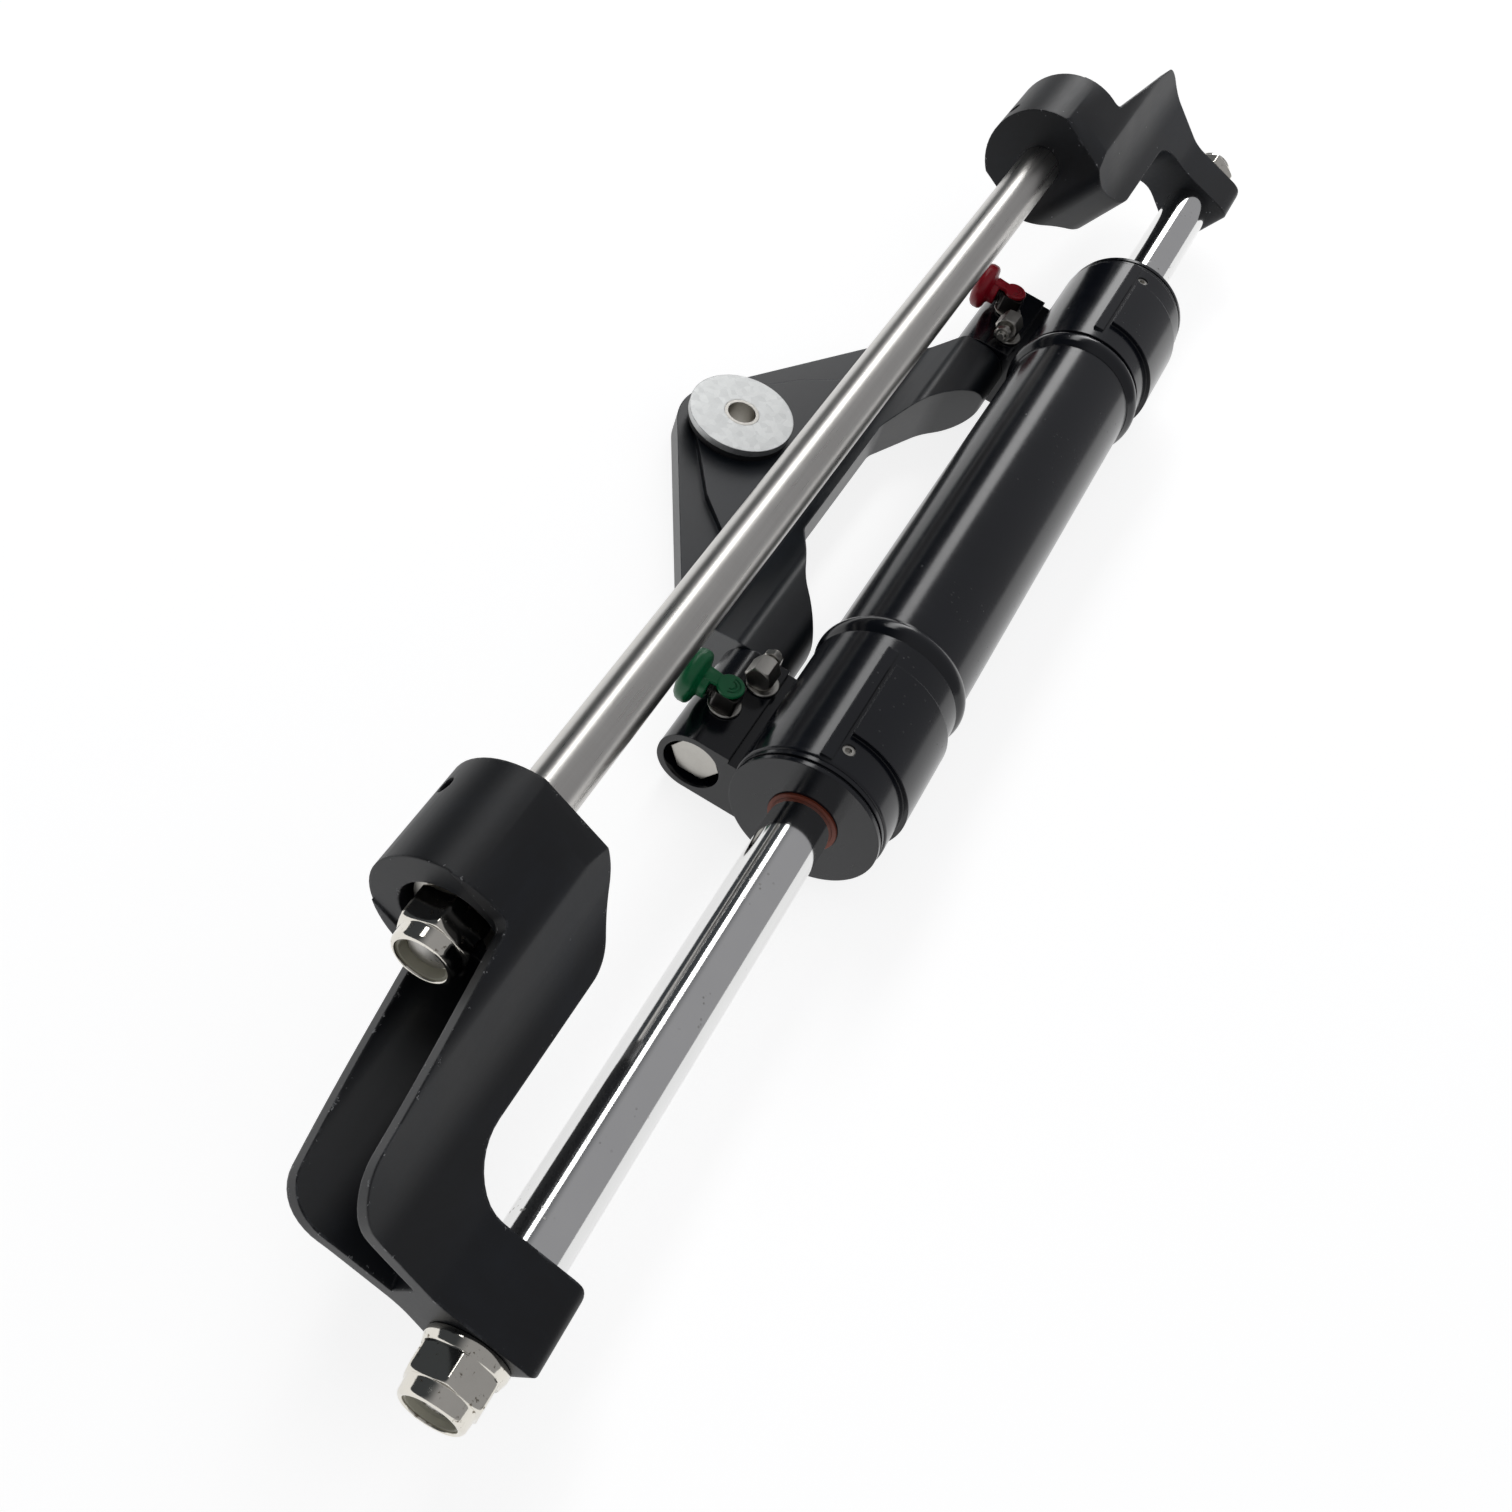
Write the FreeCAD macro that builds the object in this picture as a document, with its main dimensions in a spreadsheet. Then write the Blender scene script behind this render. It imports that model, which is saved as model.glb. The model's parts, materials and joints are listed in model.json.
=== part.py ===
import FreeCAD
import Part
import Sketcher

import math
import os

# Hydraulic steering cylinder of an outboard motor, in millimetres.
# Origin: middle of the support rod. +X: along the rods to the port end.
# +Y: from the cylinder to the tiller bore. +Z: up, along the tiller bore.
# The support rod, the piston rod and the two brackets stand still. The barrel
# slides and rolls on the piston rod, and the pivot plate swings on the barrel.

STARBOARD = -1
PORT = 1
SIDES = ((STARBOARD, "starboard"), (PORT, "port"))

doc = FreeCAD.newDocument("SteeringCylinder")
sheet = doc.addObject("Spreadsheet::Sheet", "Dimensions")
nodes = []


class Size:
    """A length, kept as a number and as the sheet formula that it comes from."""

    def __init__(self, value, formula):
        self.value = float(value)
        self.formula = formula

    def __add__(self, other):
        other = as_size(other)
        return Size(self.value + other.value, f"({self.formula} + {other.formula})")

    def __radd__(self, other):
        return as_size(other) + self

    def __sub__(self, other):
        other = as_size(other)
        return Size(self.value - other.value, f"({self.formula} - {other.formula})")

    def __rsub__(self, other):
        return as_size(other) - self

    def __mul__(self, other):
        other = as_size(other)
        return Size(self.value * other.value, f"({self.formula} * {other.formula})")

    def __rmul__(self, other):
        return as_size(other) * self

    def __truediv__(self, other):
        other = as_size(other)
        return Size(self.value / other.value, f"({self.formula} / {other.formula})")

    def __neg__(self):
        return Size(-self.value, f"(0 - {self.formula})")


def as_size(number):
    return number if isinstance(number, Size) else Size(number, f"{float(number):.9g}")


def size(alias, value, meaning):
    """Write a driving dimension to the next row of the sheet and return it."""
    size.row += 1
    sheet.set(f"A{size.row}", meaning)
    sheet.set(f"B{size.row}", str(value))
    sheet.setAlias(f"B{size.row}", alias)
    return Size(value, f"Dimensions.{alias}")


size.row = 0


def root(square):
    return Size(math.sqrt(square.value), f"sqrt({square.formula})")


# Layout of the two rods
rod_spacing_y = size("rod_spacing_y", 56.0, "support rod beside the piston rod")
rod_spacing_z = size("rod_spacing_z", 32.0, "support rod above the piston rod")
rod_spacing = root(rod_spacing_y * rod_spacing_y + rod_spacing_z * rod_spacing_z)
barrel_offset = size("barrel_offset", 29.5, "barrel centre towards port as it rests")
running_gap = size("running_gap", 0.05, "radial running clearance")
face_gap = size("face_gap", 0.3, "gap between faces that turn past each other")

# Rods
support_radius = size("support_radius", 7.94, "support rod radius")
support_half = size("support_half", 205.0, "support rod, middle to shoulder")
piston_rod_radius = size("piston_rod_radius", 9.525, "piston rod radius")
stud_radius = size("stud_radius", 6.35, "threaded end radius of both rods")
support_stud = size("support_stud", 27.0, "threaded end length of the support rod")
rod_stud = size("rod_stud", 37.0, "threaded end length of the piston rod")
end_chamfer = size("end_chamfer", 1.0, "chamfer on threaded ends")

# Piston
piston_half = size("piston_half", 11.0, "half length of the piston")
bore_radius = size("bore_radius", 17.5, "barrel bore radius")
piston_gap = size("piston_gap", 0.15, "piston to bore, radial")
seal_gap = size("seal_gap", 0.02, "seal lip to its surface, radial")
seal_half = size("seal_half", 2.4, "half width of the piston seal")
seal_depth = size("seal_depth", 3.2, "depth of the piston seal groove")
wear_offset = size("wear_offset", 6.6, "wear ring from the piston centre")
wear_half = size("wear_half", 1.5, "half width of a wear ring")
wear_depth = size("wear_depth", 1.4, "depth of a wear ring groove")
clip_width = size("clip_width", 1.4, "piston retaining ring width")
clip_depth = size("clip_depth", 1.0, "retaining ring groove depth in the rod")
clip_height = size("clip_height", 2.2, "retaining ring height above the rod")

# Brackets, measured from the shoulders of the support rod and from its axis
bracket_wall = size("bracket_wall", 4.5, "bracket wall thickness")
boss_radius = size("boss_radius", 22.3, "support rod boss radius")
nose_inset = size("nose_inset", 16.3, "half-round end inside the shoulder")
nose_gap = size("nose_gap", 0.3, "flat left between the two rounded corners of that end")
boss_reach = size("boss_reach", 18.0, "outer face of the boss past the shoulder")
boss_edge = size("boss_edge", 0.8, "edge break of the boss")
counterbore_radius = size("counterbore_radius", 14.0, "nut recess radius")
counterbore_depth = size("counterbore_depth", 6.5, "nut recess depth")
heel_chamfer = size("heel_chamfer", 3.0, "chamfer under the half-round end")
web_drop = size("web_drop", 34.0, "underside of the leg below the support axis")
web_thickness = size("web_thickness", 5.0, "web thickness of the leg")
leg_crest = size("leg_crest", 3.5, "wall crest below the support axis at the boss")
leg_crest_end = size("leg_crest_end", 14.0, "wall crest below the axis at the corner")
crest_bevel = size("crest_bevel", 3.0, "bevel along the wall crests")
foot_reach = size("foot_reach", 65.0, "inner face of the foot past the shoulder")
foot_thickness = size("foot_thickness", 23.0, "foot thickness along the rods")
foot_below = size("foot_below", 12.0, "foot reach below the piston rod axis")
foot_solid_top = size("foot_solid_top", 26.0, "foot is solid up to this height")
corner_radius = size("corner_radius", 13.0, "outer corner of the bracket walls")
inner_corner_radius = size("inner_corner_radius", 16.0, "inner corner of the bracket")
channel_corner_radius = size("channel_corner_radius", 9.0, "corner inside the channel")
foot_corner_radius = size("foot_corner_radius", 4.0, "lower corners of the foot")
channel_top = size("channel_top", 8.0, "channel mouth under the boss, below its axis")
flank_start = size("flank_start", 10.0, "where the walls start to draw in, below the axis")
flank_knee = size("flank_knee", 24.0, "knee of the flank below the support axis")
flank_knee_half = size("flank_knee_half", 13.0, "half width at the knee")
flank_knee_radius = size("flank_knee_radius", 30.0, "flank radius at the knee")
waist_rise = size("waist_rise", 16.5, "waist above the piston rod axis")
waist_half = size("waist_half", 8.4, "half width at the waist")
waist_radius = size("waist_radius", 20.0, "flank radius at the waist")
foot_half = size("foot_half", 13.5, "half width of the foot at its lower end")
foot_flare_end = size("foot_flare_end", 6.5, "end of the flare below the piston rod axis")
foot_flare_radius = size("foot_flare_radius", 6.0, "radius at the end of the flare")
screw_inset = size("screw_inset", 7.5, "set screw inside the shoulder")
screw_radius = size("screw_radius", 2.6, "set screw radius")
screw_length = size("screw_length", 8.0, "set screw length")

# Fasteners
washer_radius = size("washer_radius", 12.6, "support washer radius")
washer_thickness = size("washer_thickness", 2.5, "support washer thickness")
nut_flats = size("nut_flats", 19.05, "width across the flats of the nuts")
nut_height = size("nut_height", 11.0, "hexagon height of the nuts")
collar_height = size("collar_height", 5.0, "insert collar height of the nuts")
collar_radius = size("collar_radius", 8.9, "insert collar radius")
insert_radius = size("insert_radius", 7.9, "outer radius of the nylon insert")
insert_bore = size("insert_bore", 6.45, "bore radius of the nylon insert")
insert_thickness = size("insert_thickness", 3.2, "nylon insert thickness")
collar_lip = size("collar_lip", 0.8, "rolled lip over the insert")
flange_radius = size("flange_radius", 10.9, "flange radius of the rod nut")
flange_thickness = size("flange_thickness", 2.2, "flange rim thickness")
flange_rise = size("flange_rise", 2.0, "flange cone height")
nut_chamfer = size("nut_chamfer", 1.2, "corner chamfer of a hexagon")

# Barrel, measured inwards from each gland face
barrel_half = size("barrel_half", 149.0, "barrel centre to a gland face")
tube_radius = size("tube_radius", 23.1, "barrel tube radius")
seat_radius = size("seat_radius", 21.4, "tube radius inside the end blocks")
block_radius = size("block_radius", 24.2, "end block radius")
flange_depth = size("flange_depth", 4.0, "gland flange thickness")
block_end = size("block_end", 58.0, "gland face to the end of the block")
ring_end = size("ring_end", 67.0, "gland face to the end of the tube ring")
ring_peak = size("ring_peak", 3.0, "peak of the tube ring's flanks over the tube")
ring_round = size("ring_round", 4.5, "rounding of the tube ring's crest")
gland_depth = size("gland_depth", 32.5, "gland length")
gland_radius = size("gland_radius", 23.7, "gland flange radius")
gland_groove = size("gland_groove", 0.8, "depth of the groove between the collars")
collar_width = size("collar_width", 1.5, "width of each gland collar")
wiper_radius = size("wiper_radius", 10.9, "wiper recess radius in the gland")
wiper_depth = size("wiper_depth", 4.5, "wiper recess depth")
wiper_proud = size("wiper_proud", 0.7, "wiper rise over the gland face")
rod_seal_place = size("rod_seal_place", 14.0, "gland face to the rod seal groove")
rod_seal_width = size("rod_seal_width", 5.0, "rod seal groove width")
rod_seal_radius = size("rod_seal_radius", 13.2, "rod seal groove radius")
oring_place = size("oring_place", 24.0, "gland face to the gland ring groove")
oring_width = size("oring_width", 3.0, "gland ring groove width")
oring_depth = size("oring_depth", 2.2, "gland ring groove depth")

# End block details
lug_start = size("lug_start", 10.0, "gland face to the lug")
lug_end = size("lug_end", 52.0, "gland face to the inner end of the lug")
pivot_y = size("pivot_y", 38.0, "pivot axis beside the piston rod axis")
pivot_drop = size("pivot_drop", 17.5, "pivot axis below the piston rod axis")
lug_half_height = size("lug_half_height", 11.5, "half height of the lug")
lug_corner_radius = size("lug_corner_radius", 11.0, "rounded outer end of the lug")
lug_root = size("lug_root", 6.0, "lug root beside the piston rod axis")
lug_groove_y = size("lug_groove_y", 24.6, "groove between lug and cylinder")
lug_groove_width = size("lug_groove_width", 3.4, "width of that groove")
lug_groove_depth = size("lug_groove_depth", 1.8, "depth of that groove")
pad_start = size("pad_start", 16.4, "gland face to the raised pad")
pad_end = size("pad_end", 47.0, "gland face to the end of the raised pad")
pad_rise = size("pad_rise", 1.7, "raised pad over the block")
strip_start = size("strip_start", 5.0, "gland face to the key strip")
strip_end = size("strip_end", 53.0, "gland face to the end of the key strip")
strip_near = size("strip_near", 1.2, "near edge of the key strip")
strip_width = size("strip_width", 3.6, "key strip width")
strip_rise = size("strip_rise", 0.6, "key strip over the block")
lock_place = size("lock_place", 11.5, "gland face to the lock screw")
lock_radius = size("lock_radius", 2.0, "lock screw radius")
lock_depth = size("lock_depth", 2.0, "lock screw length")
lock_side = size("lock_side", 1.5, "lock screw beside the axis, on the pad side")

# Pivot bolt
bolt_radius = size("bolt_radius", 4.76, "pivot bolt radius")
bolt_flats = size("bolt_flats", 14.3, "width across the flats of the bolt head")
bolt_head = size("bolt_head", 6.0, "bolt head height")
recess_radius = size("recess_radius", 9.4, "bolt head recess radius")
recess_depth = size("recess_depth", 8.5, "bolt head recess depth")
bolt_reach = size("bolt_reach", 17.5, "bolt reach past the lug")

# Hose elbow and bleeder on each lug
elbow_place = size("elbow_place", 25.2, "gland face to the hose elbow")
elbow_y = size("elbow_y", 38.5, "elbow beside the piston rod axis")
bleeder_place = size("bleeder_place", 40.2, "gland face to the bleeder")
bleeder_y = size("bleeder_y", 31.5, "bleeder beside the piston rod axis")
base_ring_radius = size("base_ring_radius", 6.0, "base ring radius")
base_ring_thickness = size("base_ring_thickness", 1.0, "base ring thickness")
stem_radius = size("stem_radius", 3.4, "fitting stem radius")
stem_depth = size("stem_depth", 5.0, "fitting stem depth in the lug")
passage_radius = size("passage_radius", 1.8, "oil passage radius in a fitting")
elbow_block = size("elbow_block", 9.4, "elbow block side")
elbow_height = size("elbow_height", 7.4, "elbow block height over its ring")
elbow_corner = size("elbow_corner", 1.2, "corner radius of the elbow block")
elbow_axis_rise = size("elbow_axis_rise", 4.9, "elbow outlet axis above the lug")
elbow_reach = size("elbow_reach", 12.5, "elbow outlet end from its stem axis")
elbow_outlet = size("elbow_outlet", 3.0, "elbow outlet radius")
cap_neck = size("cap_neck", 8.6, "cap grip from the stem axis")
cap_end = size("cap_end", 15.5, "closed end of the cap from the stem axis")
cap_neck_radius = size("cap_neck_radius", 4.6, "cap neck radius")
cap_grip_radius = size("cap_grip_radius", 8.2, "cap grip radius")
tab_radius = size("tab_radius", 4.3, "pull tab radius of the cap")
tab_thickness = size("tab_thickness", 1.8, "pull tab thickness")
tab_reach = size("tab_reach", 9.6, "pull tab from the elbow along the barrel")
tab_place = size("tab_place", 9.0, "pull tab from the stem axis")
tab_strap = size("tab_strap", 3.0, "width of the strap to the pull tab")
bleeder_flats = size("bleeder_flats", 9.0, "width across the flats of the bleeder")
bleeder_height = size("bleeder_height", 6.6, "bleeder hexagon height")
bleeder_stub = size("bleeder_stub", 2.3, "bleeder stub radius")
bleeder_reach = size("bleeder_reach", 11.0, "bleeder stub end from its stem axis")
bleeder_axis_rise = size("bleeder_axis_rise", 4.3, "bleeder stub axis above the lug")
stub_nut_flats = size("stub_nut_flats", 6.4, "width across the flats of the stub nut")
stub_nut_height = size("stub_nut_height", 2.6, "stub nut thickness")
stub_nut_place = size("stub_nut_place", 6.0, "stub nut from the stem axis")

# Pivot plate, measured from the pivot axis and the barrel centre
plate_top = size("plate_top", 1.2, "plateau above the pivot axis")
plate_base = size("plate_base", 11.0, "plate underside below the pivot axis")
plate_flange = size("plate_flange", 2.6, "outer flange below the plateau")
tiller_reach = size("tiller_reach", 56.6, "tiller bore beside the pivot axis")
apex_radius = size("apex_radius", 21.5, "plate radius round the tiller bore")
shoulder_inset = size("shoulder_inset", 19.7, "shoulder inside the legs' outer faces")
shoulder_y = size("shoulder_y", 37.0, "shoulder beside the pivot axis")
shoulder_radius = size("shoulder_radius", 12.0, "shoulder corner radius")
leg_width = size("leg_width", 17.0, "plate leg width")
leg_radius = size("leg_radius", 10.8, "plate leg end radius")
leg_shoulder_y = size("leg_shoulder_y", 8.0, "outer leg corner beside the pivot axis")
base_edge_y = size("base_edge_y", 12.0, "inner edge of the plate beside the axis")
base_edge_x = size("base_edge_x", 35.0, "end of the straight inner edge")
base_edge_radius = size("base_edge_radius", 14.0, "corner radius of the inner edge")
plateau_inset = size("plateau_inset", 4.0, "plateau inside the outer edge")
plateau_x = size("plateau_x", 38.0, "plateau corner from the middle")
plateau_y = size("plateau_y", 49.0, "plateau corner beside the pivot axis")
plateau_low_x = size("plateau_low_x", 50.0, "lower plateau corner from the middle")
plateau_low_y = size("plateau_low_y", 36.0, "lower plateau corner beside the axis")
plateau_start = size("plateau_start", 20.0, "where the plateau edge leaves the legs")
hump_y = size("hump_y", 8.0, "end of the thick leg beside the pivot axis")
hump_fall = size("hump_fall", 19.0, "where the leg has thinned to the plate")
hump_corner = size("hump_corner", 6.0, "rounding of the leg's upper side")
leg_end_corner = size("leg_end_corner", 10.6, "corner radius of the leg end")
leg_corner = size("leg_corner", 4.0, "outer corner of the leg")
bush_wall = size("bush_wall", 1.6, "pivot bush wall")
sleeve_bore = size("sleeve_bore", 5.0, "tiller bore radius")
sleeve_radius = size("sleeve_radius", 6.3, "tiller sleeve radius")
tiller_washer_radius = size("tiller_washer_radius", 18.8, "tiller washer radius")
tiller_washer_thickness = size("tiller_washer_thickness", 2.6, "tiller washer thickness")
cushion_radius = size("cushion_radius", 18.2, "rubber washer radius")
cushion_thickness = size("cushion_thickness", 2.8, "rubber washer thickness")
doc.recompute()

# Places worked out from the sizes above
nose_tip = support_half - nose_inset
screw_place = support_half - screw_inset
boss_end = support_half + boss_reach
foot_inner = support_half + foot_reach
foot_outer = foot_inner + foot_thickness
leg_outer = barrel_half - lug_end - face_gap
shoulder_x = leg_outer - shoulder_inset
cap_start = base_ring_radius + face_gap
pivot_row_y = pivot_y - rod_spacing_y
pivot_row_z = -rod_spacing_z - pivot_drop
lug_top = lug_half_height - pivot_drop
counterbore_floor = boss_end - counterbore_depth


def bind(thing, path, length):
    """Tie a property or a sketch constraint to the sheet."""
    length = as_size(length)
    if "Dimensions." in length.formula:
        thing.setExpression(path, length.formula)


def place(thing, x=0.0, y=0.0, z=0.0, tilted=False):
    """Put a sub-part in the frame; a tilted one follows the plane of the two rods."""
    x, y, z = as_size(x), as_size(y), as_size(z)
    tilt = math.degrees(math.atan2(rod_spacing_z.value, rod_spacing_y.value))
    turn = FreeCAD.Rotation(FreeCAD.Vector(1, 0, 0), tilt if tilted else 0.0)
    thing.Placement = FreeCAD.Placement(FreeCAD.Vector(x.value, y.value, z.value), turn)
    for axis, length in (("x", x), ("y", y), ("z", z)):
        bind(thing, f"Placement.Base.{axis}", length)
    if tilted:
        angle = f"atan2({rod_spacing_z.formula}; {rod_spacing_y.formula})"
        thing.setExpression("Placement.Rotation.Angle", angle)


def on_piston_axis(thing, x=0.0):
    place(thing, x, -rod_spacing_y, -rod_spacing_z)


def on_pivot_axis(thing):
    place(thing, barrel_offset, pivot_row_y, pivot_row_z)


def new_body(name):
    body = doc.addObject("PartDesign::Body", name)
    body.Label = name
    nodes.append(body)
    return body


def new_sketch(body, plane, offset=0.0):
    """A sketch on one of the body's own origin planes, moved along its normal."""
    sketch = body.newObject("Sketcher::SketchObject", f"{body.Name}_sketch")
    for feature in body.Origin.OriginFeatures:
        if feature.Role == plane:
            sketch.AttachmentSupport = [(feature, "")]
    sketch.MapMode = "FlatFace"
    offset = as_size(offset)
    sketch.AttachmentOffset = FreeCAD.Placement(
        FreeCAD.Vector(0, 0, offset.value), FreeCAD.Rotation()
    )
    bind(sketch, "AttachmentOffset.Base.z", offset)
    return sketch


def constrain(sketch, constraint, length):
    """Add a dimension to a sketch and tie it to the sheet."""
    index = sketch.addConstraint(constraint)
    bind(sketch, f"Constraints[{index}]", length)


def fix_point(sketch, geometry, position, x, y):
    for kind, length in (("DistanceX", x), ("DistanceY", y)):
        length = as_size(length)
        constraint = Sketcher.Constraint(kind, -1, 1, geometry, position, length.value)
        constrain(sketch, constraint, length)


def draw_circle(sketch, x, y, radius):
    centre = FreeCAD.Vector(as_size(x).value, as_size(y).value, 0)
    circle = Part.Circle(centre, FreeCAD.Vector(0, 0, 1), radius.value)
    index = sketch.addGeometry(circle, False)
    constrain(sketch, Sketcher.Constraint("Radius", index, radius.value), radius)
    fix_point(sketch, index, 3, x, y)


def corner_arc(before, corner, after, radius):
    """Tangent points and arc that round one corner; the arc runs anticlockwise."""
    back = (before - corner).normalize()
    ahead = (after - corner).normalize()
    half = back.getAngle(ahead) / 2
    start = corner + back * (radius / math.tan(half))
    end = corner + ahead * (radius / math.tan(half))
    middle = (back + ahead).normalize()
    centre = corner + middle * (radius / math.sin(half))
    left_turn = (corner - before).cross(after - corner).z > 0
    first, last = (start, end) if left_turn else (end, start)
    angles = [math.atan2(p.y - centre.y, p.x - centre.x) for p in (first, last)]
    if angles[1] < angles[0]:
        angles[1] += 2 * math.pi
    circle = Part.Circle(centre, FreeCAD.Vector(0, 0, 1), radius)
    return start, end, Part.ArcOfCircle(circle, *angles), left_turn


def draw_outline(sketch, corners):
    """Closed outline through corners (x, y) or (x, y, radius), fully dimensioned."""
    count = len(corners)
    points = [FreeCAD.Vector(as_size(c[0]).value, as_size(c[1]).value, 0) for c in corners]
    leave, reach, arcs = {}, {}, {}
    for i, corner in enumerate(corners):
        leave[i] = reach[i] = points[i]
        if len(corner) > 2:
            radius = as_size(corner[2]).value
            rounded = corner_arc(points[i - 1], points[i], points[(i + 1) % count], radius)
            reach[i], leave[i] = rounded[0], rounded[1]
            arcs[i] = (sketch.addGeometry(rounded[2], False), rounded[3])
    lines = [
        sketch.addGeometry(Part.LineSegment(leave[i], reach[(i + 1) % count]), False)
        for i in range(count)
    ]
    for i, corner in enumerate(corners):
        line_in, line_out = lines[i - 1], lines[i]
        if i not in arcs:
            sketch.addConstraint(Sketcher.Constraint("Coincident", line_in, 2, line_out, 1))
            fix_point(sketch, line_out, 1, corner[0], corner[1])
            continue
        arc, left_turn = arcs[i]
        first, last = (1, 2) if left_turn else (2, 1)
        mark = sketch.addGeometry(Part.Point(points[i]), True)
        sketch.addConstraint([
            Sketcher.Constraint("Tangent", line_in, 2, arc, first),
            Sketcher.Constraint("Tangent", line_out, 1, arc, last),
            Sketcher.Constraint("PointOnObject", mark, 1, line_in),
            Sketcher.Constraint("PointOnObject", mark, 1, line_out),
        ])
        radius = as_size(corner[2])
        constrain(sketch, Sketcher.Constraint("Radius", arc, radius.value), radius)
        fix_point(sketch, mark, 1, corner[0], corner[1])


def revolve(body, corners, cut=False):
    """Turn an outline of (x, radius) corners round the body's X axis."""
    sketch = new_sketch(body, "XY_Plane")
    draw_outline(sketch, corners)
    kind = "PartDesign::Groove" if cut else "PartDesign::Revolution"
    feature = body.newObject(kind, f"{body.Name}_turned")
    feature.Profile = sketch
    feature.ReferenceAxis = (sketch, ["H_Axis"])
    feature.Angle = 360.0
    return feature


def extrude(body, sketch, length, symmetric=False, cut=False, flip=False):
    kind = "PartDesign::Pocket" if cut else "PartDesign::Pad"
    feature = body.newObject(kind, f"{body.Name}_extruded")
    feature.Profile = sketch
    length = as_size(length)
    feature.Length = length.value
    bind(feature, "Length", length)
    if symmetric:
        feature.SideType = "Symmetric"
    feature.Reversed = flip
    return feature


def hexagon(flats, x=0.0, y=0.0):
    """Corners of a hexagon with its flats above and below."""
    radius = flats / math.sqrt(3)
    turns = [math.radians(60 * k) for k in range(6)]
    return [(x + radius * math.cos(a), y + radius * math.sin(a)) for a in turns]


def turned_part(name, corners):
    body = new_body(name)
    revolve(body, corners)
    return body


def ring_corners(start, end, inner, outer):
    return [(start, inner), (end, inner), (end, outer), (start, outer)]


# Rods
def build_support_rod():
    tip = support_half + support_stud
    half = [
        (support_half, support_radius),
        (support_half, stud_radius),
        (tip - end_chamfer, stud_radius),
        (tip, stud_radius - end_chamfer),
        (tip, 0.0),
    ]
    mirrored = [(-x, r) for x, r in reversed(half)]
    place(turned_part("support_rod", half + mirrored))


def build_piston_rod():
    tip = foot_inner + rod_stud
    clip_start = piston_half
    clip_end = piston_half + clip_width
    groove = piston_rod_radius - clip_depth
    half = [
        (clip_start, piston_rod_radius),
        (clip_start, groove),
        (clip_end, groove),
        (clip_end, piston_rod_radius),
        (foot_inner, piston_rod_radius),
        (foot_inner, stud_radius),
        (tip - end_chamfer, stud_radius),
        (tip, stud_radius - end_chamfer),
        (tip, 0.0),
    ]
    mirrored = [(-x, r) for x, r in reversed(half)]
    on_piston_axis(turned_part("piston_rod", half + mirrored))


# Piston with its seal, wear rings and retaining rings
def build_piston():
    outer = bore_radius - piston_gap
    seal_floor = outer - seal_depth
    wear_floor = outer - wear_depth
    half = [
        (seal_half, seal_floor),
        (seal_half, outer),
        (wear_offset - wear_half, outer),
        (wear_offset - wear_half, wear_floor),
        (wear_offset + wear_half, wear_floor),
        (wear_offset + wear_half, outer),
        (piston_half, outer),
        (piston_half, piston_rod_radius),
    ]
    mirrored = [(-x, r) for x, r in reversed(half)]
    on_piston_axis(turned_part("piston", half + mirrored))

    lip = bore_radius - seal_gap
    seal = ring_corners(-seal_half, seal_half, seal_floor, lip)
    on_piston_axis(turned_part("piston_seal", seal))
    rings = new_body("piston_wear_rings")
    for side in (STARBOARD, PORT):
        start = side * (wear_offset - wear_half)
        end = side * (wear_offset + wear_half)
        revolve(rings, ring_corners(start, end, wear_floor, lip))
    on_piston_axis(rings)
    clips = new_body("piston_retaining_rings")
    for side in (STARBOARD, PORT):
        start = side * piston_half
        end = side * (piston_half + clip_width)
        floor = piston_rod_radius - clip_depth
        revolve(clips, ring_corners(start, end, floor, piston_rod_radius + clip_height))
    on_piston_axis(clips)


# Brackets: a boss round the support rod, and a channel leg down to the piston rod
def edges_along(shape, wanted):
    """Names of the edges for which wanted(edge) is true."""
    return [f"Edge{i + 1}" for i, edge in enumerate(shape.Edges) if wanted(edge)]


def helper_body(name):
    """A body that only shapes another one, and isn't a part itself."""
    return doc.addObject("PartDesign::Body", name)


def combine(body, kind, other):
    """Cut another body from a body, or keep only what the two have in common."""
    feature = body.newObject("PartDesign::Boolean", f"{body.Name}_{kind.lower()}")
    feature.Type = kind
    feature.setObjects([other])
    doc.recompute()


def flank_form(name, inset, bottom):
    """The bracket's waisted section, or its inside, extruded along the rods."""
    inside = inset is not None
    drawn_in = inset if inside else 0.0
    half = [
        (boss_radius, boss_radius - drawn_in),
        (-flank_start, boss_radius - drawn_in),
        (-flank_knee, flank_knee_half - drawn_in, flank_knee_radius),
        (-rod_spacing + waist_rise, waist_half - drawn_in, waist_radius),
    ]
    if not inside:
        half += [
            (-rod_spacing - foot_flare_end, foot_half, foot_flare_radius),
            (bottom, foot_half, foot_corner_radius),
        ]
    else:
        half.append((bottom, waist_half - drawn_in))
    body = helper_body(name)
    sketch = new_sketch(body, "YZ_Plane")
    draw_outline(sketch, half + [(c[0], -c[1], *c[2:]) for c in reversed(half)])
    extrude(body, sketch, 2 * (foot_outer + corner_radius), symmetric=True)
    return body


def nose_form(side, name):
    """Plan of the bracket: half-round at its inner end, straight beyond."""
    body = helper_body(name)
    sketch = new_sketch(body, "XZ_Plane")
    round_end = boss_radius - nose_gap
    draw_outline(sketch, [
        (side * nose_tip, -boss_radius, round_end),
        (side * (foot_outer + boss_edge), -boss_radius),
        (side * (foot_outer + boss_edge), boss_radius),
        (side * nose_tip, boss_radius, round_end),
    ])
    extrude(body, sketch, 2 * (rod_spacing + boss_radius), symmetric=True)
    return body


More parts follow.
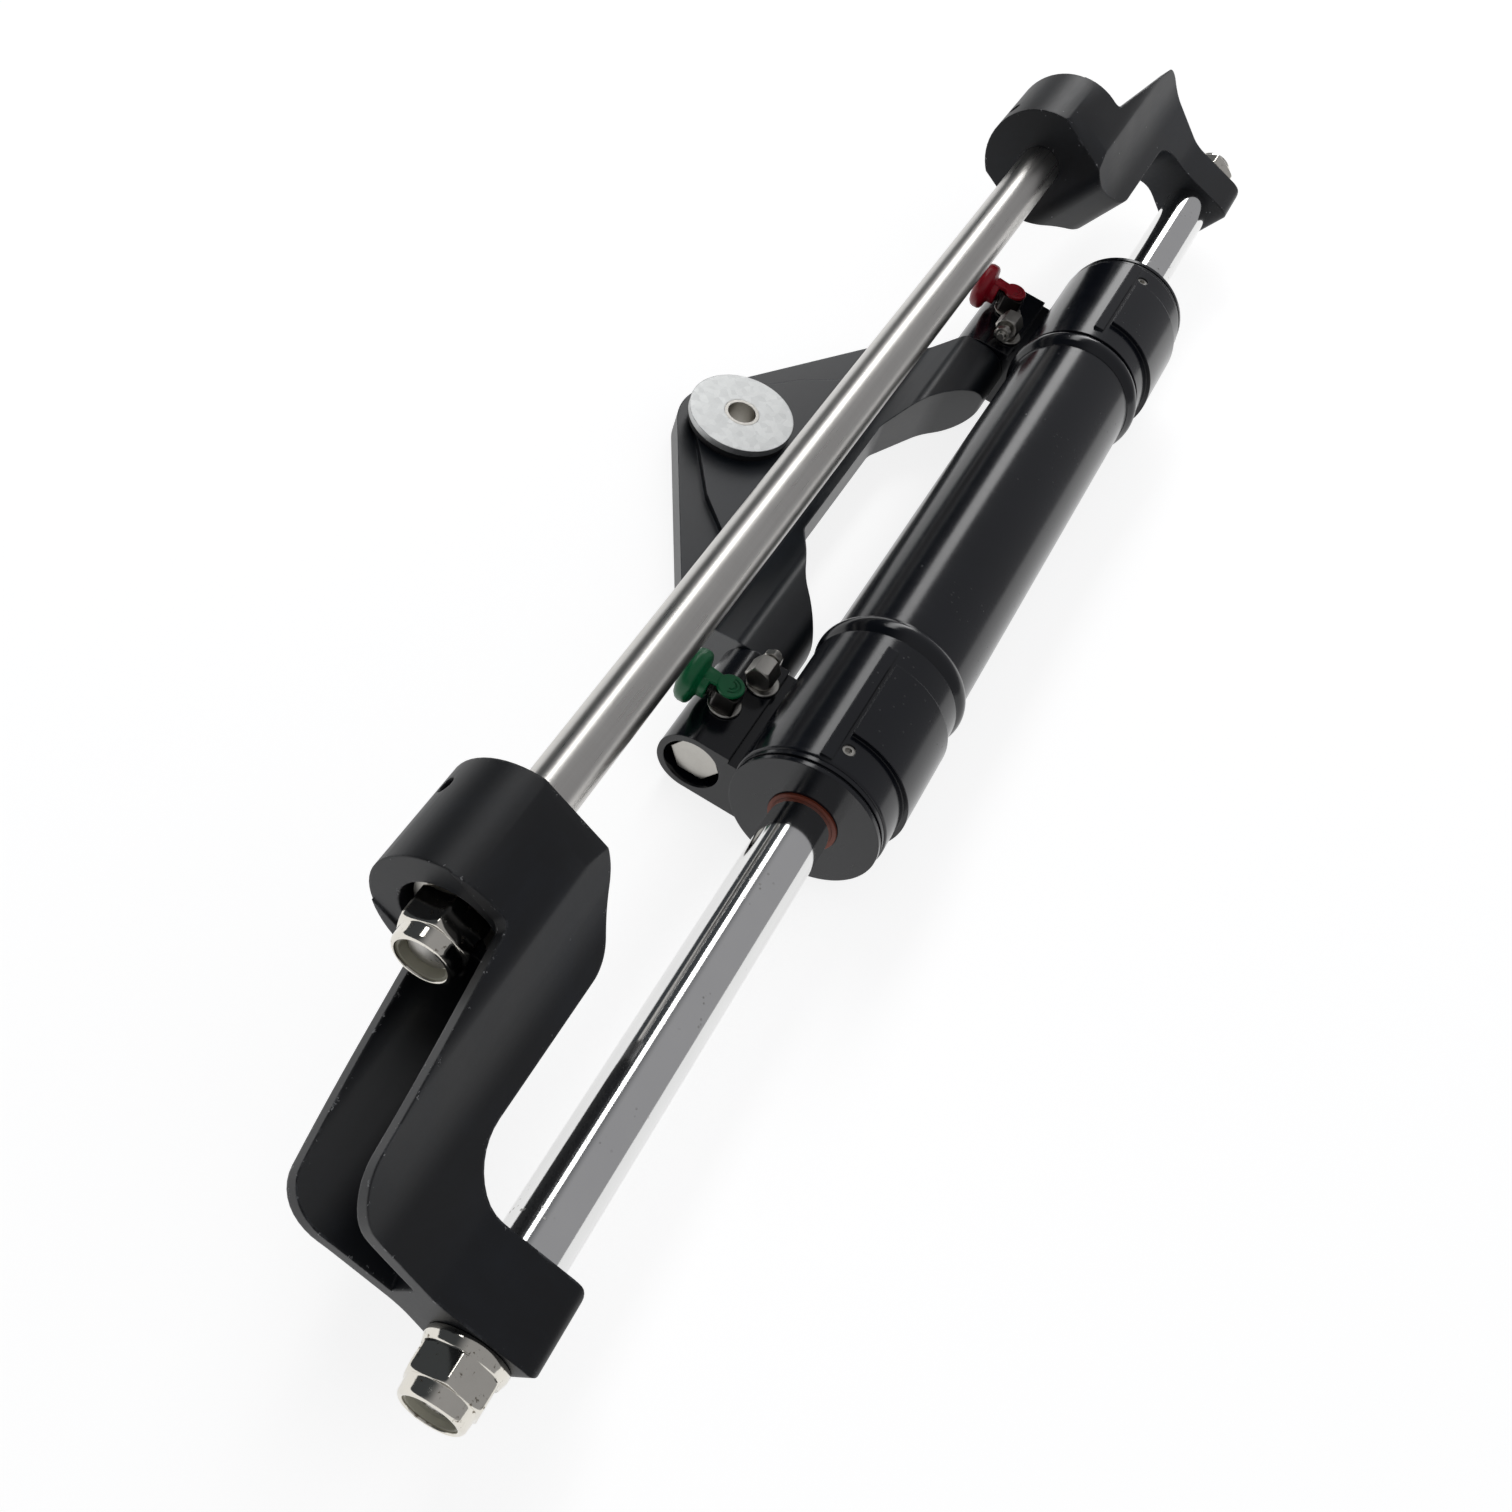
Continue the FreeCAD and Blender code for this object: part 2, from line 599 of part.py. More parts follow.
def channel_form(side, name):
    """Hollow between the two walls, open upwards and outwards."""
    body = helper_body(name)
    floor = -web_drop + web_thickness
    solid_top = -rod_spacing + foot_solid_top
    sketch = new_sketch(body, "XY_Plane")
    draw_outline(sketch, [
        (side * counterbore_floor, -channel_top),
        (side * counterbore_floor, floor),
        (side * (foot_inner + web_thickness), floor, channel_corner_radius),
        (side * (foot_inner + web_thickness), solid_top),
        (side * (foot_outer + boss_edge), solid_top - web_thickness),
        (side * (foot_outer + boss_edge), boss_radius),
        (side * boss_end, boss_radius),
        (side * boss_end, -channel_top),
    ])
    extrude(body, sketch, 2 * boss_radius, symmetric=True)
    bottom = -rod_spacing + waist_rise - web_thickness
    combine(body, "Common", flank_form(f"{name}_flanks", bracket_wall, bottom))
    return body


def build_bracket(side, name):
    body = new_body(f"{name}_bracket")
    bottom = -rod_spacing - foot_below
    sketch = new_sketch(body, "XY_Plane")
    draw_outline(sketch, [
        (side * nose_tip, 0.0),
        (side * nose_tip, -web_drop + heel_chamfer),
        (side * (nose_tip + heel_chamfer), -web_drop),
        (side * foot_inner, -web_drop, inner_corner_radius),
        (side * foot_inner, bottom, foot_corner_radius),
        (side * foot_outer, bottom, foot_corner_radius),
        (side * foot_outer, -leg_crest_end, corner_radius),
        (side * counterbore_floor, -leg_crest),
        (side * counterbore_floor, 0.0),
    ])
    leg = extrude(body, sketch, 2 * boss_radius, symmetric=True)
    doc.recompute()

    def is_crest(edge):
        box = edge.BoundBox
        on_face = abs(abs(box.ZMin) - boss_radius.value) < 0.01 and box.ZLength < 0.01
        outside = abs(box.Center.x) > boss_end.value
        return on_face and outside and box.Center.y > -leg_crest_end.value - corner_radius.value

    bevel = body.newObject("PartDesign::Chamfer", f"{body.Name}_bevel")
    bevel.Base = (leg, edges_along(leg.Shape, is_crest))
    bevel.Size = crest_bevel.value
    bind(bevel, "Size", crest_bevel)
    body.Tip = bevel

    revolve(body, [
        (side * nose_tip, 0.0),
        (side * nose_tip, boss_radius),
        (side * boss_end, boss_radius, boss_edge),
        (side * boss_end, 0.0),
    ])
    combine(body, "Common", flank_form(f"{name}_flank_form", None, bottom))
    combine(body, "Common", nose_form(side, f"{name}_nose_form"))
    combine(body, "Cut", channel_form(side, f"{name}_channel_form"))

    revolve(body, [
        (side * (nose_tip - boss_edge), 0.0),
        (side * (nose_tip - boss_edge), support_radius),
        (side * support_half, support_radius),
        (side * support_half, stud_radius + running_gap),
        (side * counterbore_floor, stud_radius + running_gap),
        (side * counterbore_floor, counterbore_radius),
        (side * (boss_end + boss_edge), counterbore_radius),
        (side * (boss_end + boss_edge), 0.0),
    ], cut=True)

    sketch = new_sketch(body, "YZ_Plane")
    draw_circle(sketch, -rod_spacing, 0.0, stud_radius + running_gap)
    extrude(body, sketch, 2 * (foot_outer + boss_edge), symmetric=True, cut=True)

    sketch = new_sketch(body, "XZ_Plane")
    draw_circle(sketch, side * screw_place, 0.0, screw_radius)
    extrude(body, sketch, boss_radius + boss_edge, cut=True)
    place(body, tilted=True)


def build_set_screws():
    """A cup-point screw in each boss, against the support rod."""
    screws = new_body("support_rod_set_screws")
    for side in (STARBOARD, PORT):
        sketch = new_sketch(screws, "XZ_Plane", -(support_radius + screw_length))
        draw_circle(sketch, side * screw_place, 0.0, screw_radius)
        extrude(screws, sketch, screw_length)
        socket = new_sketch(screws, "XZ_Plane", -(support_radius + screw_length))
        draw_outline(socket, hexagon(screw_radius, side * screw_place))
        extrude(screws, socket, screw_length / 2, cut=True, flip=True)
    place(screws, tilted=True)


def nut_body(name, side, start, flanged):
    """A hexagon nut with an insert collar; start is its seat, and side its direction."""
    body = new_body(name)
    seat = side * start
    hex_start = start + (flange_thickness + flange_rise if flanged else 0.0)
    hex_end = start + nut_height
    end = hex_end + collar_height
    corner = nut_flats / math.sqrt(3)
    sketch = new_sketch(body, "YZ_Plane", side * hex_end)
    draw_outline(sketch, hexagon(nut_flats))
    extrude(body, sketch, hex_end - hex_start, flip=side > 0)
    revolve(body, [
        (side * (hex_end + end_chamfer), corner + end_chamfer),
        (side * (hex_end - nut_chamfer), corner + end_chamfer),
        (side * (hex_end - nut_chamfer), corner),
        (side * (hex_end + nut_chamfer / 2), nut_flats / 2 - end_chamfer),
        (side * (hex_end + end_chamfer), nut_flats / 2 - end_chamfer),
    ], cut=True)
    if flanged:
        revolve(body, [
            (seat, 0.0),
            (seat, flange_radius),
            (side * (start + flange_thickness / 2), flange_radius),
            (side * hex_start, nut_flats / 2),
            (side * (hex_start + boss_edge), nut_flats / 2),
            (side * (hex_start + boss_edge), 0.0),
        ])
    revolve(body, [
        (side * (hex_end - nut_chamfer), 0.0),
        (side * (hex_end - nut_chamfer), collar_radius),
        (side * end, collar_radius, nut_chamfer),
        (side * end, 0.0),
    ])
    insert_end = end - collar_lip
    revolve(body, [
        (seat, 0.0),
        (seat, stud_radius),
        (side * (insert_end - insert_thickness), stud_radius),
        (side * (insert_end - insert_thickness), insert_radius),
        (side * insert_end, insert_radius),
        (side * insert_end, insert_radius - collar_lip),
        (side * (end + boss_edge), insert_radius - collar_lip),
        (side * (end + boss_edge), 0.0),
    ], cut=True)
    return body, insert_end


def build_nuts(side, name):
    start = counterbore_floor + washer_thickness
    nut, insert_end = nut_body(f"{name}_support_nut", side, start, False)
    place(nut)
    insert = ring_corners(
        side * (insert_end - insert_thickness), side * insert_end, insert_bore, insert_radius
    )
    place(turned_part(f"{name}_support_nut_insert", insert))
    nut, insert_end = nut_body(f"{name}_rod_nut", side, foot_outer, True)
    on_piston_axis(nut)
    insert = ring_corners(
        side * (insert_end - insert_thickness), side * insert_end, insert_bore, insert_radius
    )
    on_piston_axis(turned_part(f"{name}_rod_nut_insert", insert))


def build_support_washers():
    body = new_body("support_rod_washers")
    for side in (STARBOARD, PORT):
        start = side * counterbore_floor
        end = side * (counterbore_floor + washer_thickness)
        revolve(body, ring_corners(start, end, stud_radius + running_gap, washer_radius))
    place(body)


# Barrel tube, open right through
def build_tube():
    end = barrel_half - flange_depth
    step = barrel_half - block_end
    outline = [
        (-end, bore_radius),
        (end, bore_radius),
        (end, seat_radius),
        (step, seat_radius),
        (step, tube_radius),
        (-step, tube_radius),
        (-step, seat_radius),
        (-end, seat_radius),
    ]
    on_piston_axis(turned_part("barrel_tube", outline), barrel_offset)


def from_face(side, depth):
    """Barrel coordinate of a point that lies at a depth inside a gland face."""
    return side * (barrel_half - depth)


def into_barrel(cut):
    """Extrusion direction that leads from a gland face to the barrel centre."""
    return lambda side: (side < 0) if cut else (side > 0)


def extrude_inwards(body, sketch, length, side, cut=False):
    return extrude(body, sketch, length, cut=cut, flip=into_barrel(cut)(side))


def build_end_block(side, name):
    """Collar round the tube end, with the pivot lug, raised pad and key strip."""
    body = new_body(f"{name}_end_block")
    top = lug_top
    bottom = -pivot_drop - lug_half_height
    outer = pivot_y + lug_half_height

    sketch = new_sketch(body, "YZ_Plane", from_face(side, lug_start))
    draw_outline(sketch, [
        (lug_root, bottom),
        (outer, bottom, lug_corner_radius),
        (outer, top, lug_corner_radius),
        (lug_root, top),
    ])
    extrude_inwards(body, sketch, lug_end - lug_start, side)

    revolve(body, [
        (from_face(side, flange_depth), 0.0),
        (from_face(side, flange_depth), block_radius, boss_edge),
        (from_face(side, block_end), block_radius),
        (from_face(side, block_end), 0.0),
    ])

    sketch = new_sketch(body, "YZ_Plane", from_face(side, strip_start))
    strip_far = strip_near + strip_width
    draw_outline(sketch, [
        (strip_near, seat_radius),
        (strip_far, seat_radius),
        (strip_far, block_radius + strip_rise),
        (strip_near, block_radius + strip_rise),
    ])
    extrude_inwards(body, sketch, strip_end - strip_start, side)

    sketch = new_sketch(body, "XZ_Plane")
    draw_outline(sketch, [
        (from_face(side, pad_start), seat_radius),
        (from_face(side, pad_end), seat_radius),
        (from_face(side, pad_end), block_radius + pad_rise),
        (from_face(side, pad_start), block_radius + pad_rise),
    ])
    pad = body.newObject("PartDesign::Revolution", f"{body.Name}_pad")
    pad.Profile = sketch
    pad.ReferenceAxis = (sketch, ["H_Axis"])
    pad.Angle = 180.0

    sketch = new_sketch(body, "YZ_Plane", from_face(side, lug_start))
    draw_outline(sketch, [
        (lug_groove_y, top - lug_groove_depth),
        (lug_groove_y + lug_groove_width, top - lug_groove_depth),
        (lug_groove_y + lug_groove_width, top + lug_groove_depth),
        (lug_groove_y, top + lug_groove_depth),
    ])
    extrude_inwards(body, sketch, lug_end - lug_start, side, cut=True)

    revolve(body, [
        (from_face(side, flange_depth - boss_edge), 0.0),
        (from_face(side, flange_depth - boss_edge), seat_radius),
        (from_face(side, block_end + boss_edge), seat_radius),
        (from_face(side, block_end + boss_edge), 0.0),
    ], cut=True)

    for radius, depth in ((recess_radius, recess_depth), (bolt_radius, lug_end - lug_start)):
        sketch = new_sketch(body, "YZ_Plane", from_face(side, lug_start))
        draw_circle(sketch, pivot_y, -pivot_drop, radius)
        extrude_inwards(body, sketch, depth, side, cut=True)

    for depth, y in ((elbow_place, elbow_y), (bleeder_place, bleeder_y)):
        sketch = new_sketch(body, "XY_Plane", top)
        draw_circle(sketch, from_face(side, depth), y, stem_radius)
        extrude(body, sketch, stem_depth, cut=True)

    sketch = new_sketch(body, "XY_Plane", block_radius)
    draw_circle(sketch, from_face(side, lock_place), -lock_side, lock_radius)
    extrude(body, sketch, lock_depth, cut=True)
    on_piston_axis(body, barrel_offset)


def build_lock_screws():
    body = new_body("end_block_lock_screws")
    for side in (STARBOARD, PORT):
        for radius, cut, flip in ((lock_radius, False, True), (lock_radius / 2, True, False)):
            sketch = new_sketch(body, "XY_Plane", block_radius - lock_depth / 4)
            draw_circle(sketch, from_face(side, lock_place), -lock_side, radius)
            length = lock_depth / 2 if cut else lock_depth * 3 / 4
            extrude(body, sketch, length, cut=cut, flip=flip)
    on_piston_axis(body, barrel_offset)


def build_gland(side, name):
    """Rod guide with a two-collar flange, wiper recess, seal groove and ring groove."""
    rod_bore = piston_rod_radius + running_gap
    groove = gland_radius - gland_groove
    seal_end = rod_seal_place + rod_seal_width
    outline = [
        (0.0, wiper_radius),
        (0.0, gland_radius),
        (collar_width, gland_radius),
        (collar_width, groove),
        (flange_depth - collar_width, groove),
        (flange_depth - collar_width, gland_radius),
        (flange_depth, gland_radius),
        (flange_depth, bore_radius),
        (oring_place, bore_radius),
        (oring_place, bore_radius - oring_depth),
        (oring_place + oring_width, bore_radius - oring_depth),
        (oring_place + oring_width, bore_radius),
        (gland_depth, bore_radius),
        (gland_depth, rod_bore),
        (seal_end, rod_bore),
        (seal_end, rod_seal_radius),
        (rod_seal_place, rod_seal_radius),
        (rod_seal_place, rod_bore),
        (wiper_depth, rod_bore),
        (wiper_depth, wiper_radius),
    ]
    gland = turned_part(f"{name}_gland", [(from_face(side, t), r) for t, r in outline])
    on_piston_axis(gland, barrel_offset)

    parts = (
        ("gland_ring", oring_place, oring_place + oring_width,
         bore_radius - oring_depth, bore_radius),
        ("rod_wiper", -wiper_proud, wiper_depth - face_gap,
         piston_rod_radius + seal_gap, wiper_radius - running_gap),
        ("rod_seal", rod_seal_place + face_gap, seal_end - face_gap,
         piston_rod_radius + seal_gap, rod_seal_radius - running_gap),
    )
    for kind, start, end, inner, outer in parts:
        corners = ring_corners(from_face(side, start), from_face(side, end), inner, outer)
        on_piston_axis(turned_part(f"{name}_{kind}", corners), barrel_offset)


def build_tube_ring(side, name):
    body = turned_part(f"{name}_tube_ring", [
        (from_face(side, block_end), tube_radius),
        (from_face(side, (block_end + ring_end) / 2), tube_radius + ring_peak, ring_round),
        (from_face(side, ring_end), tube_radius),
    ])
    on_piston_axis(body, barrel_offset)


def pad_up(body, corners, start, height, cut=False):
    """Extrude an outline, or a (x, y, radius) circle, upwards from a height."""
    sketch = new_sketch(body, "XY_Plane", start)
    if isinstance(corners, tuple):
        draw_circle(sketch, *corners)
    else:
        draw_outline(sketch, corners)
    return extrude(body, sketch, height, cut=cut, flip=cut)


def pad_out(body, corners, start, end, cut=False):
    """Extrude an outline or circle of (x, z) along +Y, between two distances."""
    sketch = new_sketch(body, "XZ_Plane", -start)
    if isinstance(corners, tuple):
        draw_circle(sketch, *corners)
    else:
        draw_outline(sketch, corners)
    return extrude(body, sketch, end - start, cut=cut, flip=not cut)


def build_fitting_rings(side, name):
    body = new_body(f"{name}_fitting_rings")
    for depth, y in ((elbow_place, elbow_y), (bleeder_place, bleeder_y)):
        x = from_face(side, depth)
        pad_up(body, (x, y, base_ring_radius), lug_top, base_ring_thickness)
        pad_up(body, (x, y, stem_radius), lug_top, base_ring_thickness, cut=True)
    on_piston_axis(body, barrel_offset)


def build_elbow(side, name):
    """Square elbow on a stem, with its outlet towards the tiller, and its cap."""
    x = from_face(side, elbow_place)
    base = lug_top + base_ring_thickness
    axis = lug_top + elbow_axis_rise
    half = elbow_block / 2
    body = new_body(f"{name}_hose_elbow")
    pad_up(body, (x, elbow_y, stem_radius), lug_top - stem_depth, stem_depth + base_ring_thickness)
    pad_up(body, [
        (x - half, elbow_y - half, elbow_corner),
        (x + half, elbow_y - half, elbow_corner),
        (x + half, elbow_y + half, elbow_corner),
        (x - half, elbow_y + half, elbow_corner),
    ], base, elbow_height)
    pad_out(body, (x, axis, elbow_outlet), elbow_y, elbow_y + elbow_reach)
    pad_out(body, (x, axis, passage_radius), elbow_y, elbow_y + elbow_reach, cut=True)
    bottom = lug_top - stem_depth
    pad_up(body, (x, elbow_y, passage_radius), bottom, axis - bottom, cut=True)
    on_piston_axis(body, barrel_offset)

    cap = new_body(f"{name}_hose_cap")
    neck = elbow_y + cap_neck
    pad_out(cap, (x, axis, cap_neck_radius), elbow_y + cap_start, neck)
    pad_out(cap, (x, axis, cap_grip_radius), neck, elbow_y + cap_end)
    tab_x = x - side * tab_reach
    tab_y = elbow_y + tab_place
    pad_up(cap, (tab_x, tab_y - tab_strap, tab_radius), axis, tab_thickness)
    pad_up(cap, [
        (x, neck),
        (tab_x, tab_y - tab_strap),
        (tab_x, tab_y),
        (x, neck + tab_strap),
    ], axis, tab_thickness)
    pad_out(cap, (x, axis, elbow_outlet), elbow_y, elbow_y + elbow_reach, cut=True)
    on_piston_axis(cap, barrel_offset)


def build_bleeder(side, name):
    """Hexagon bleeder with a threaded stub towards the tiller and a small nut on it."""
    x = from_face(side, bleeder_place)
    axis = lug_top + bleeder_axis_rise
    body = new_body(f"{name}_bleeder")
    pad_up(body, (x, bleeder_y, stem_radius), lug_top - stem_depth, stem_depth + base_ring_thickness)
    pad_up(body, hexagon(bleeder_flats, x, bleeder_y), lug_top + base_ring_thickness, bleeder_height)
    pad_out(body, (x, axis, bleeder_stub), bleeder_y, bleeder_y + bleeder_reach)
    on_piston_axis(body, barrel_offset)

    nut = new_body(f"{name}_bleeder_nut")
    start = bleeder_y + stub_nut_place
    pad_out(nut, hexagon(stub_nut_flats, x, axis), start, start + stub_nut_height)
    pad_out(nut, (x, axis, bleeder_stub), start, start + stub_nut_height, cut=True)
    on_piston_axis(nut, barrel_offset)


def build_pivot_bolt(side, name):
    """Shoulder bolt: its head lies in the lug's recess, its end carries the plate leg."""
    floor = barrel_half - lug_start - recess_depth
    tip = barrel_half - lug_end - bolt_reach
    body = new_body(f"{name}_pivot_bolt")
    sketch = new_sketch(body, "YZ_Plane", side * (floor + bolt_head))
    draw_outline(sketch, hexagon(bolt_flats))
    extrude_inwards(body, sketch, bolt_head, side)
    revolve(body, [
        (side * (tip + end_chamfer), bolt_radius),
        (side * (floor + end_chamfer), bolt_radius),
        (side * (floor + end_chamfer), 0.0),
        (side * tip, 0.0),
        (side * tip, bolt_radius - end_chamfer),
    ])
    on_pivot_axis(body)


# Pivot plate: a forked plate whose legs turn on the two pivot bolts
def build_pivot_plate():
    drop = tiller_reach - shoulder_y
    spread = shoulder_x * shoulder_x

    def apex(radius, edge_drop):
        """Corner above the tiller bore where two edges tangent to a circle meet."""
        span = root(spread + edge_drop * edge_drop - radius * radius)
        rise = (radius * radius * edge_drop + radius * shoulder_x * span) / (
            spread - radius * radius)
        return tiller_reach + rise

    leg_inner = leg_outer - leg_width
    right = [
        (leg_inner, -leg_radius),
        (leg_outer, -leg_radius),
        (leg_outer, leg_shoulder_y, leg_corner),
        (shoulder_x, shoulder_y, shoulder_radius),
    ]
    inner = [(base_edge_x, base_edge_y, base_edge_radius)]
    top = [(0.0, apex(apex_radius, drop), apex_radius)]

    def mirrored(corners):
        return [(-c[0], *c[1:]) for c in reversed(corners)]

    body = new_body("pivot_plate")
    outline = right + top + mirrored(right) + mirrored(inner) + inner
    pad_up(body, outline, -plate_base, plate_base + leg_radius)

    side_form = helper_body("plate_side_form")
    sketch = new_sketch(side_form, "YZ_Plane")
    reach = tiller_reach + 2 * apex_radius
    draw_outline(sketch, [
        (-leg_radius, -plate_base, leg_end_corner),
        (reach, -plate_base),
        (reach, plate_top),
        (hump_fall, plate_top, hump_corner),
        (hump_y, leg_radius, hump_corner),
        (-leg_radius, leg_radius, leg_end_corner),
    ])
    extrude(side_form, sketch, 2 * leg_outer, symmetric=True)
    combine(body, "Common", side_form)

    inset_radius = apex_radius - plateau_inset
    edge = [
        (plateau_low_x, plateau_start),
        (plateau_low_x, plateau_low_y),
        (plateau_x, plateau_y),
    ]
    rim = [(0.0, apex(inset_radius, drop), inset_radius)]
    outside = [(-leg_outer, plateau_start), (-leg_outer, reach), (leg_outer, reach),
               (leg_outer, plateau_start)]
    sketch = new_sketch(body, "XY_Plane", plate_top)
    draw_outline(sketch, edge + rim + mirrored(edge) + outside)
    extrude(body, sketch, plate_flange, cut=True)

    height = plate_base + plate_top
    pad_up(body, (0.0, tiller_reach, sleeve_radius), -plate_base, height, cut=True)
    sketch = new_sketch(body, "YZ_Plane")
    draw_circle(sketch, 0.0, 0.0, bolt_radius + running_gap + bush_wall)
    extrude(body, sketch, 2 * leg_outer, symmetric=True, cut=True)
    on_pivot_axis(body)


def build_pivot_bush(side, name):
    inner = bolt_radius + running_gap
    start = side * (leg_outer - leg_width)
    end = side * leg_outer
    on_pivot_axis(turned_part(f"{name}_pivot_bush", ring_corners(start, end, inner, inner + bush_wall)))


def build_tiller_stack():
    """Sleeve through the plate, with a rubber and a steel washer on the plateau."""
    top = plate_top + cushion_thickness + tiller_washer_thickness
    parts = (
        ("tiller_sleeve", -plate_base, top, sleeve_bore, sleeve_radius),
        ("tiller_cushion", plate_top, plate_top + cushion_thickness,
         sleeve_radius, cushion_radius),
        ("tiller_washer", plate_top + cushion_thickness, top,
         sleeve_radius, tiller_washer_radius),
    )
    for name, start, end, inner, outer in parts:
        body = new_body(name)
        pad_up(body, (0.0, tiller_reach, outer), start, end - start)
        pad_up(body, (0.0, tiller_reach, inner), start, end - start, cut=True)
        on_pivot_axis(body)


build_support_rod()
build_piston_rod()
build_piston()
build_set_screws()
build_support_washers()
build_tube()
build_lock_screws()
build_pivot_plate()
build_tiller_stack()
for side, name in SIDES:
    build_bracket(side, name)
    build_nuts(side, name)
    build_end_block(side, name)
    build_gland(side, name)
    build_tube_ring(side, name)
    build_fitting_rings(side, name)
    build_elbow(side, name)
    build_bleeder(side, name)
    build_pivot_bolt(side, name)
    build_pivot_bush(side, name)
doc.recompute()

for thing in doc.Objects:
    if {"Invalid", "Error"} & set(thing.State):
        raise RuntimeError(f"{thing.Label} was not computed")
for node in nodes:
    if node.Shape.isNull() or not node.Shape.isValid():
        raise RuntimeError(f"{node.Label} has no valid shape")

os.makedirs("parts", exist_ok=True)
for node in nodes:
    node.Shape.exportStep(f"parts/{node.Label}.step")
    print(node.Label, len(node.Shape.Solids), round(node.Shape.Volume, 1))
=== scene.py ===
import json
import math

import bmesh
import bpy
from mathutils import Matrix, Vector


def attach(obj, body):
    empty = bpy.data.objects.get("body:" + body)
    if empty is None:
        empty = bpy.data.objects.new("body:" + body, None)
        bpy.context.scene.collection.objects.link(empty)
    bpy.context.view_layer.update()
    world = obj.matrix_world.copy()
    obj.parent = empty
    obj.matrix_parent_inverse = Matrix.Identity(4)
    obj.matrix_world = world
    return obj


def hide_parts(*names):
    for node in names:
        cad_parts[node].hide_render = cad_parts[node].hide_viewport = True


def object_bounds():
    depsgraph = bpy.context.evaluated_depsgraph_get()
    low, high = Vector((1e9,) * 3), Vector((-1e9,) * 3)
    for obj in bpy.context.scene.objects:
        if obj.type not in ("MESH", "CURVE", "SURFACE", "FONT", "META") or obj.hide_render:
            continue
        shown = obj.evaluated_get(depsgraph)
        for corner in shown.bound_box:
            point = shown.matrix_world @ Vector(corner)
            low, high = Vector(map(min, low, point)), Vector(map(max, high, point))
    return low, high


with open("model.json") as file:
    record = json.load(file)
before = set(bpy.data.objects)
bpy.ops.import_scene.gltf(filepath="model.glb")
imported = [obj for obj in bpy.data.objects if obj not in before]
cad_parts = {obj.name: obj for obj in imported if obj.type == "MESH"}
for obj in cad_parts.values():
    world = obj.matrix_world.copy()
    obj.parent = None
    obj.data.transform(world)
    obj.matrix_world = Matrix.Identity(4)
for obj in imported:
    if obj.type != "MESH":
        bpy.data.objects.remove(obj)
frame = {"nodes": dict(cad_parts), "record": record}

nodes = frame["nodes"]
frame_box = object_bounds()

MM = 0.001
STARBOARD, PORT = -1, 1
SIDES = ((STARBOARD, "starboard"), (PORT, "port"))

# Places in the frame, in millimetres: the axes of the two rods run along X
SUPPORT_AXIS = (0.0, 0.0)
PISTON_AXIS = (-56.0, -32.0)
BARREL_MIDDLE = 29.5
BARREL_HALF = 149.0
NUT_FLATS = 19.05
SUPPORT_NUT_SEAT = 219.0
ROD_NUT_SEAT = 293.0


# ---------------------------------------------------------------- shader maths
class Value:
    """A shader socket that takes part in sums and products."""

    def __init__(self, finish, socket):
        self.finish, self.socket = finish, socket

    def math(self, operation, *others):
        return self.finish.math(operation, self, *others)

    def __add__(self, other):
        return self.math("ADD", other)

    def __sub__(self, other):
        return self.math("SUBTRACT", other)

    def __mul__(self, other):
        return self.math("MULTIPLY", other)

    def __radd__(self, other):
        return self.finish.math("ADD", other, self)

    def __rsub__(self, other):
        return self.finish.math("SUBTRACT", other, self)

    def __rmul__(self, other):
        return self.finish.math("MULTIPLY", other, self)

    def above(self, threshold, softness):
        """0 below the threshold, 1 above it, with a soft step between."""
        span = {"interpolation_type": "SMOOTHSTEP", "clamp": True}
        step = self.finish.node("ShaderNodeMapRange", span, {
            "Value": self, "From Min": threshold - softness, "From Max": threshold + softness})
        return Value(self.finish, step.outputs["Result"])


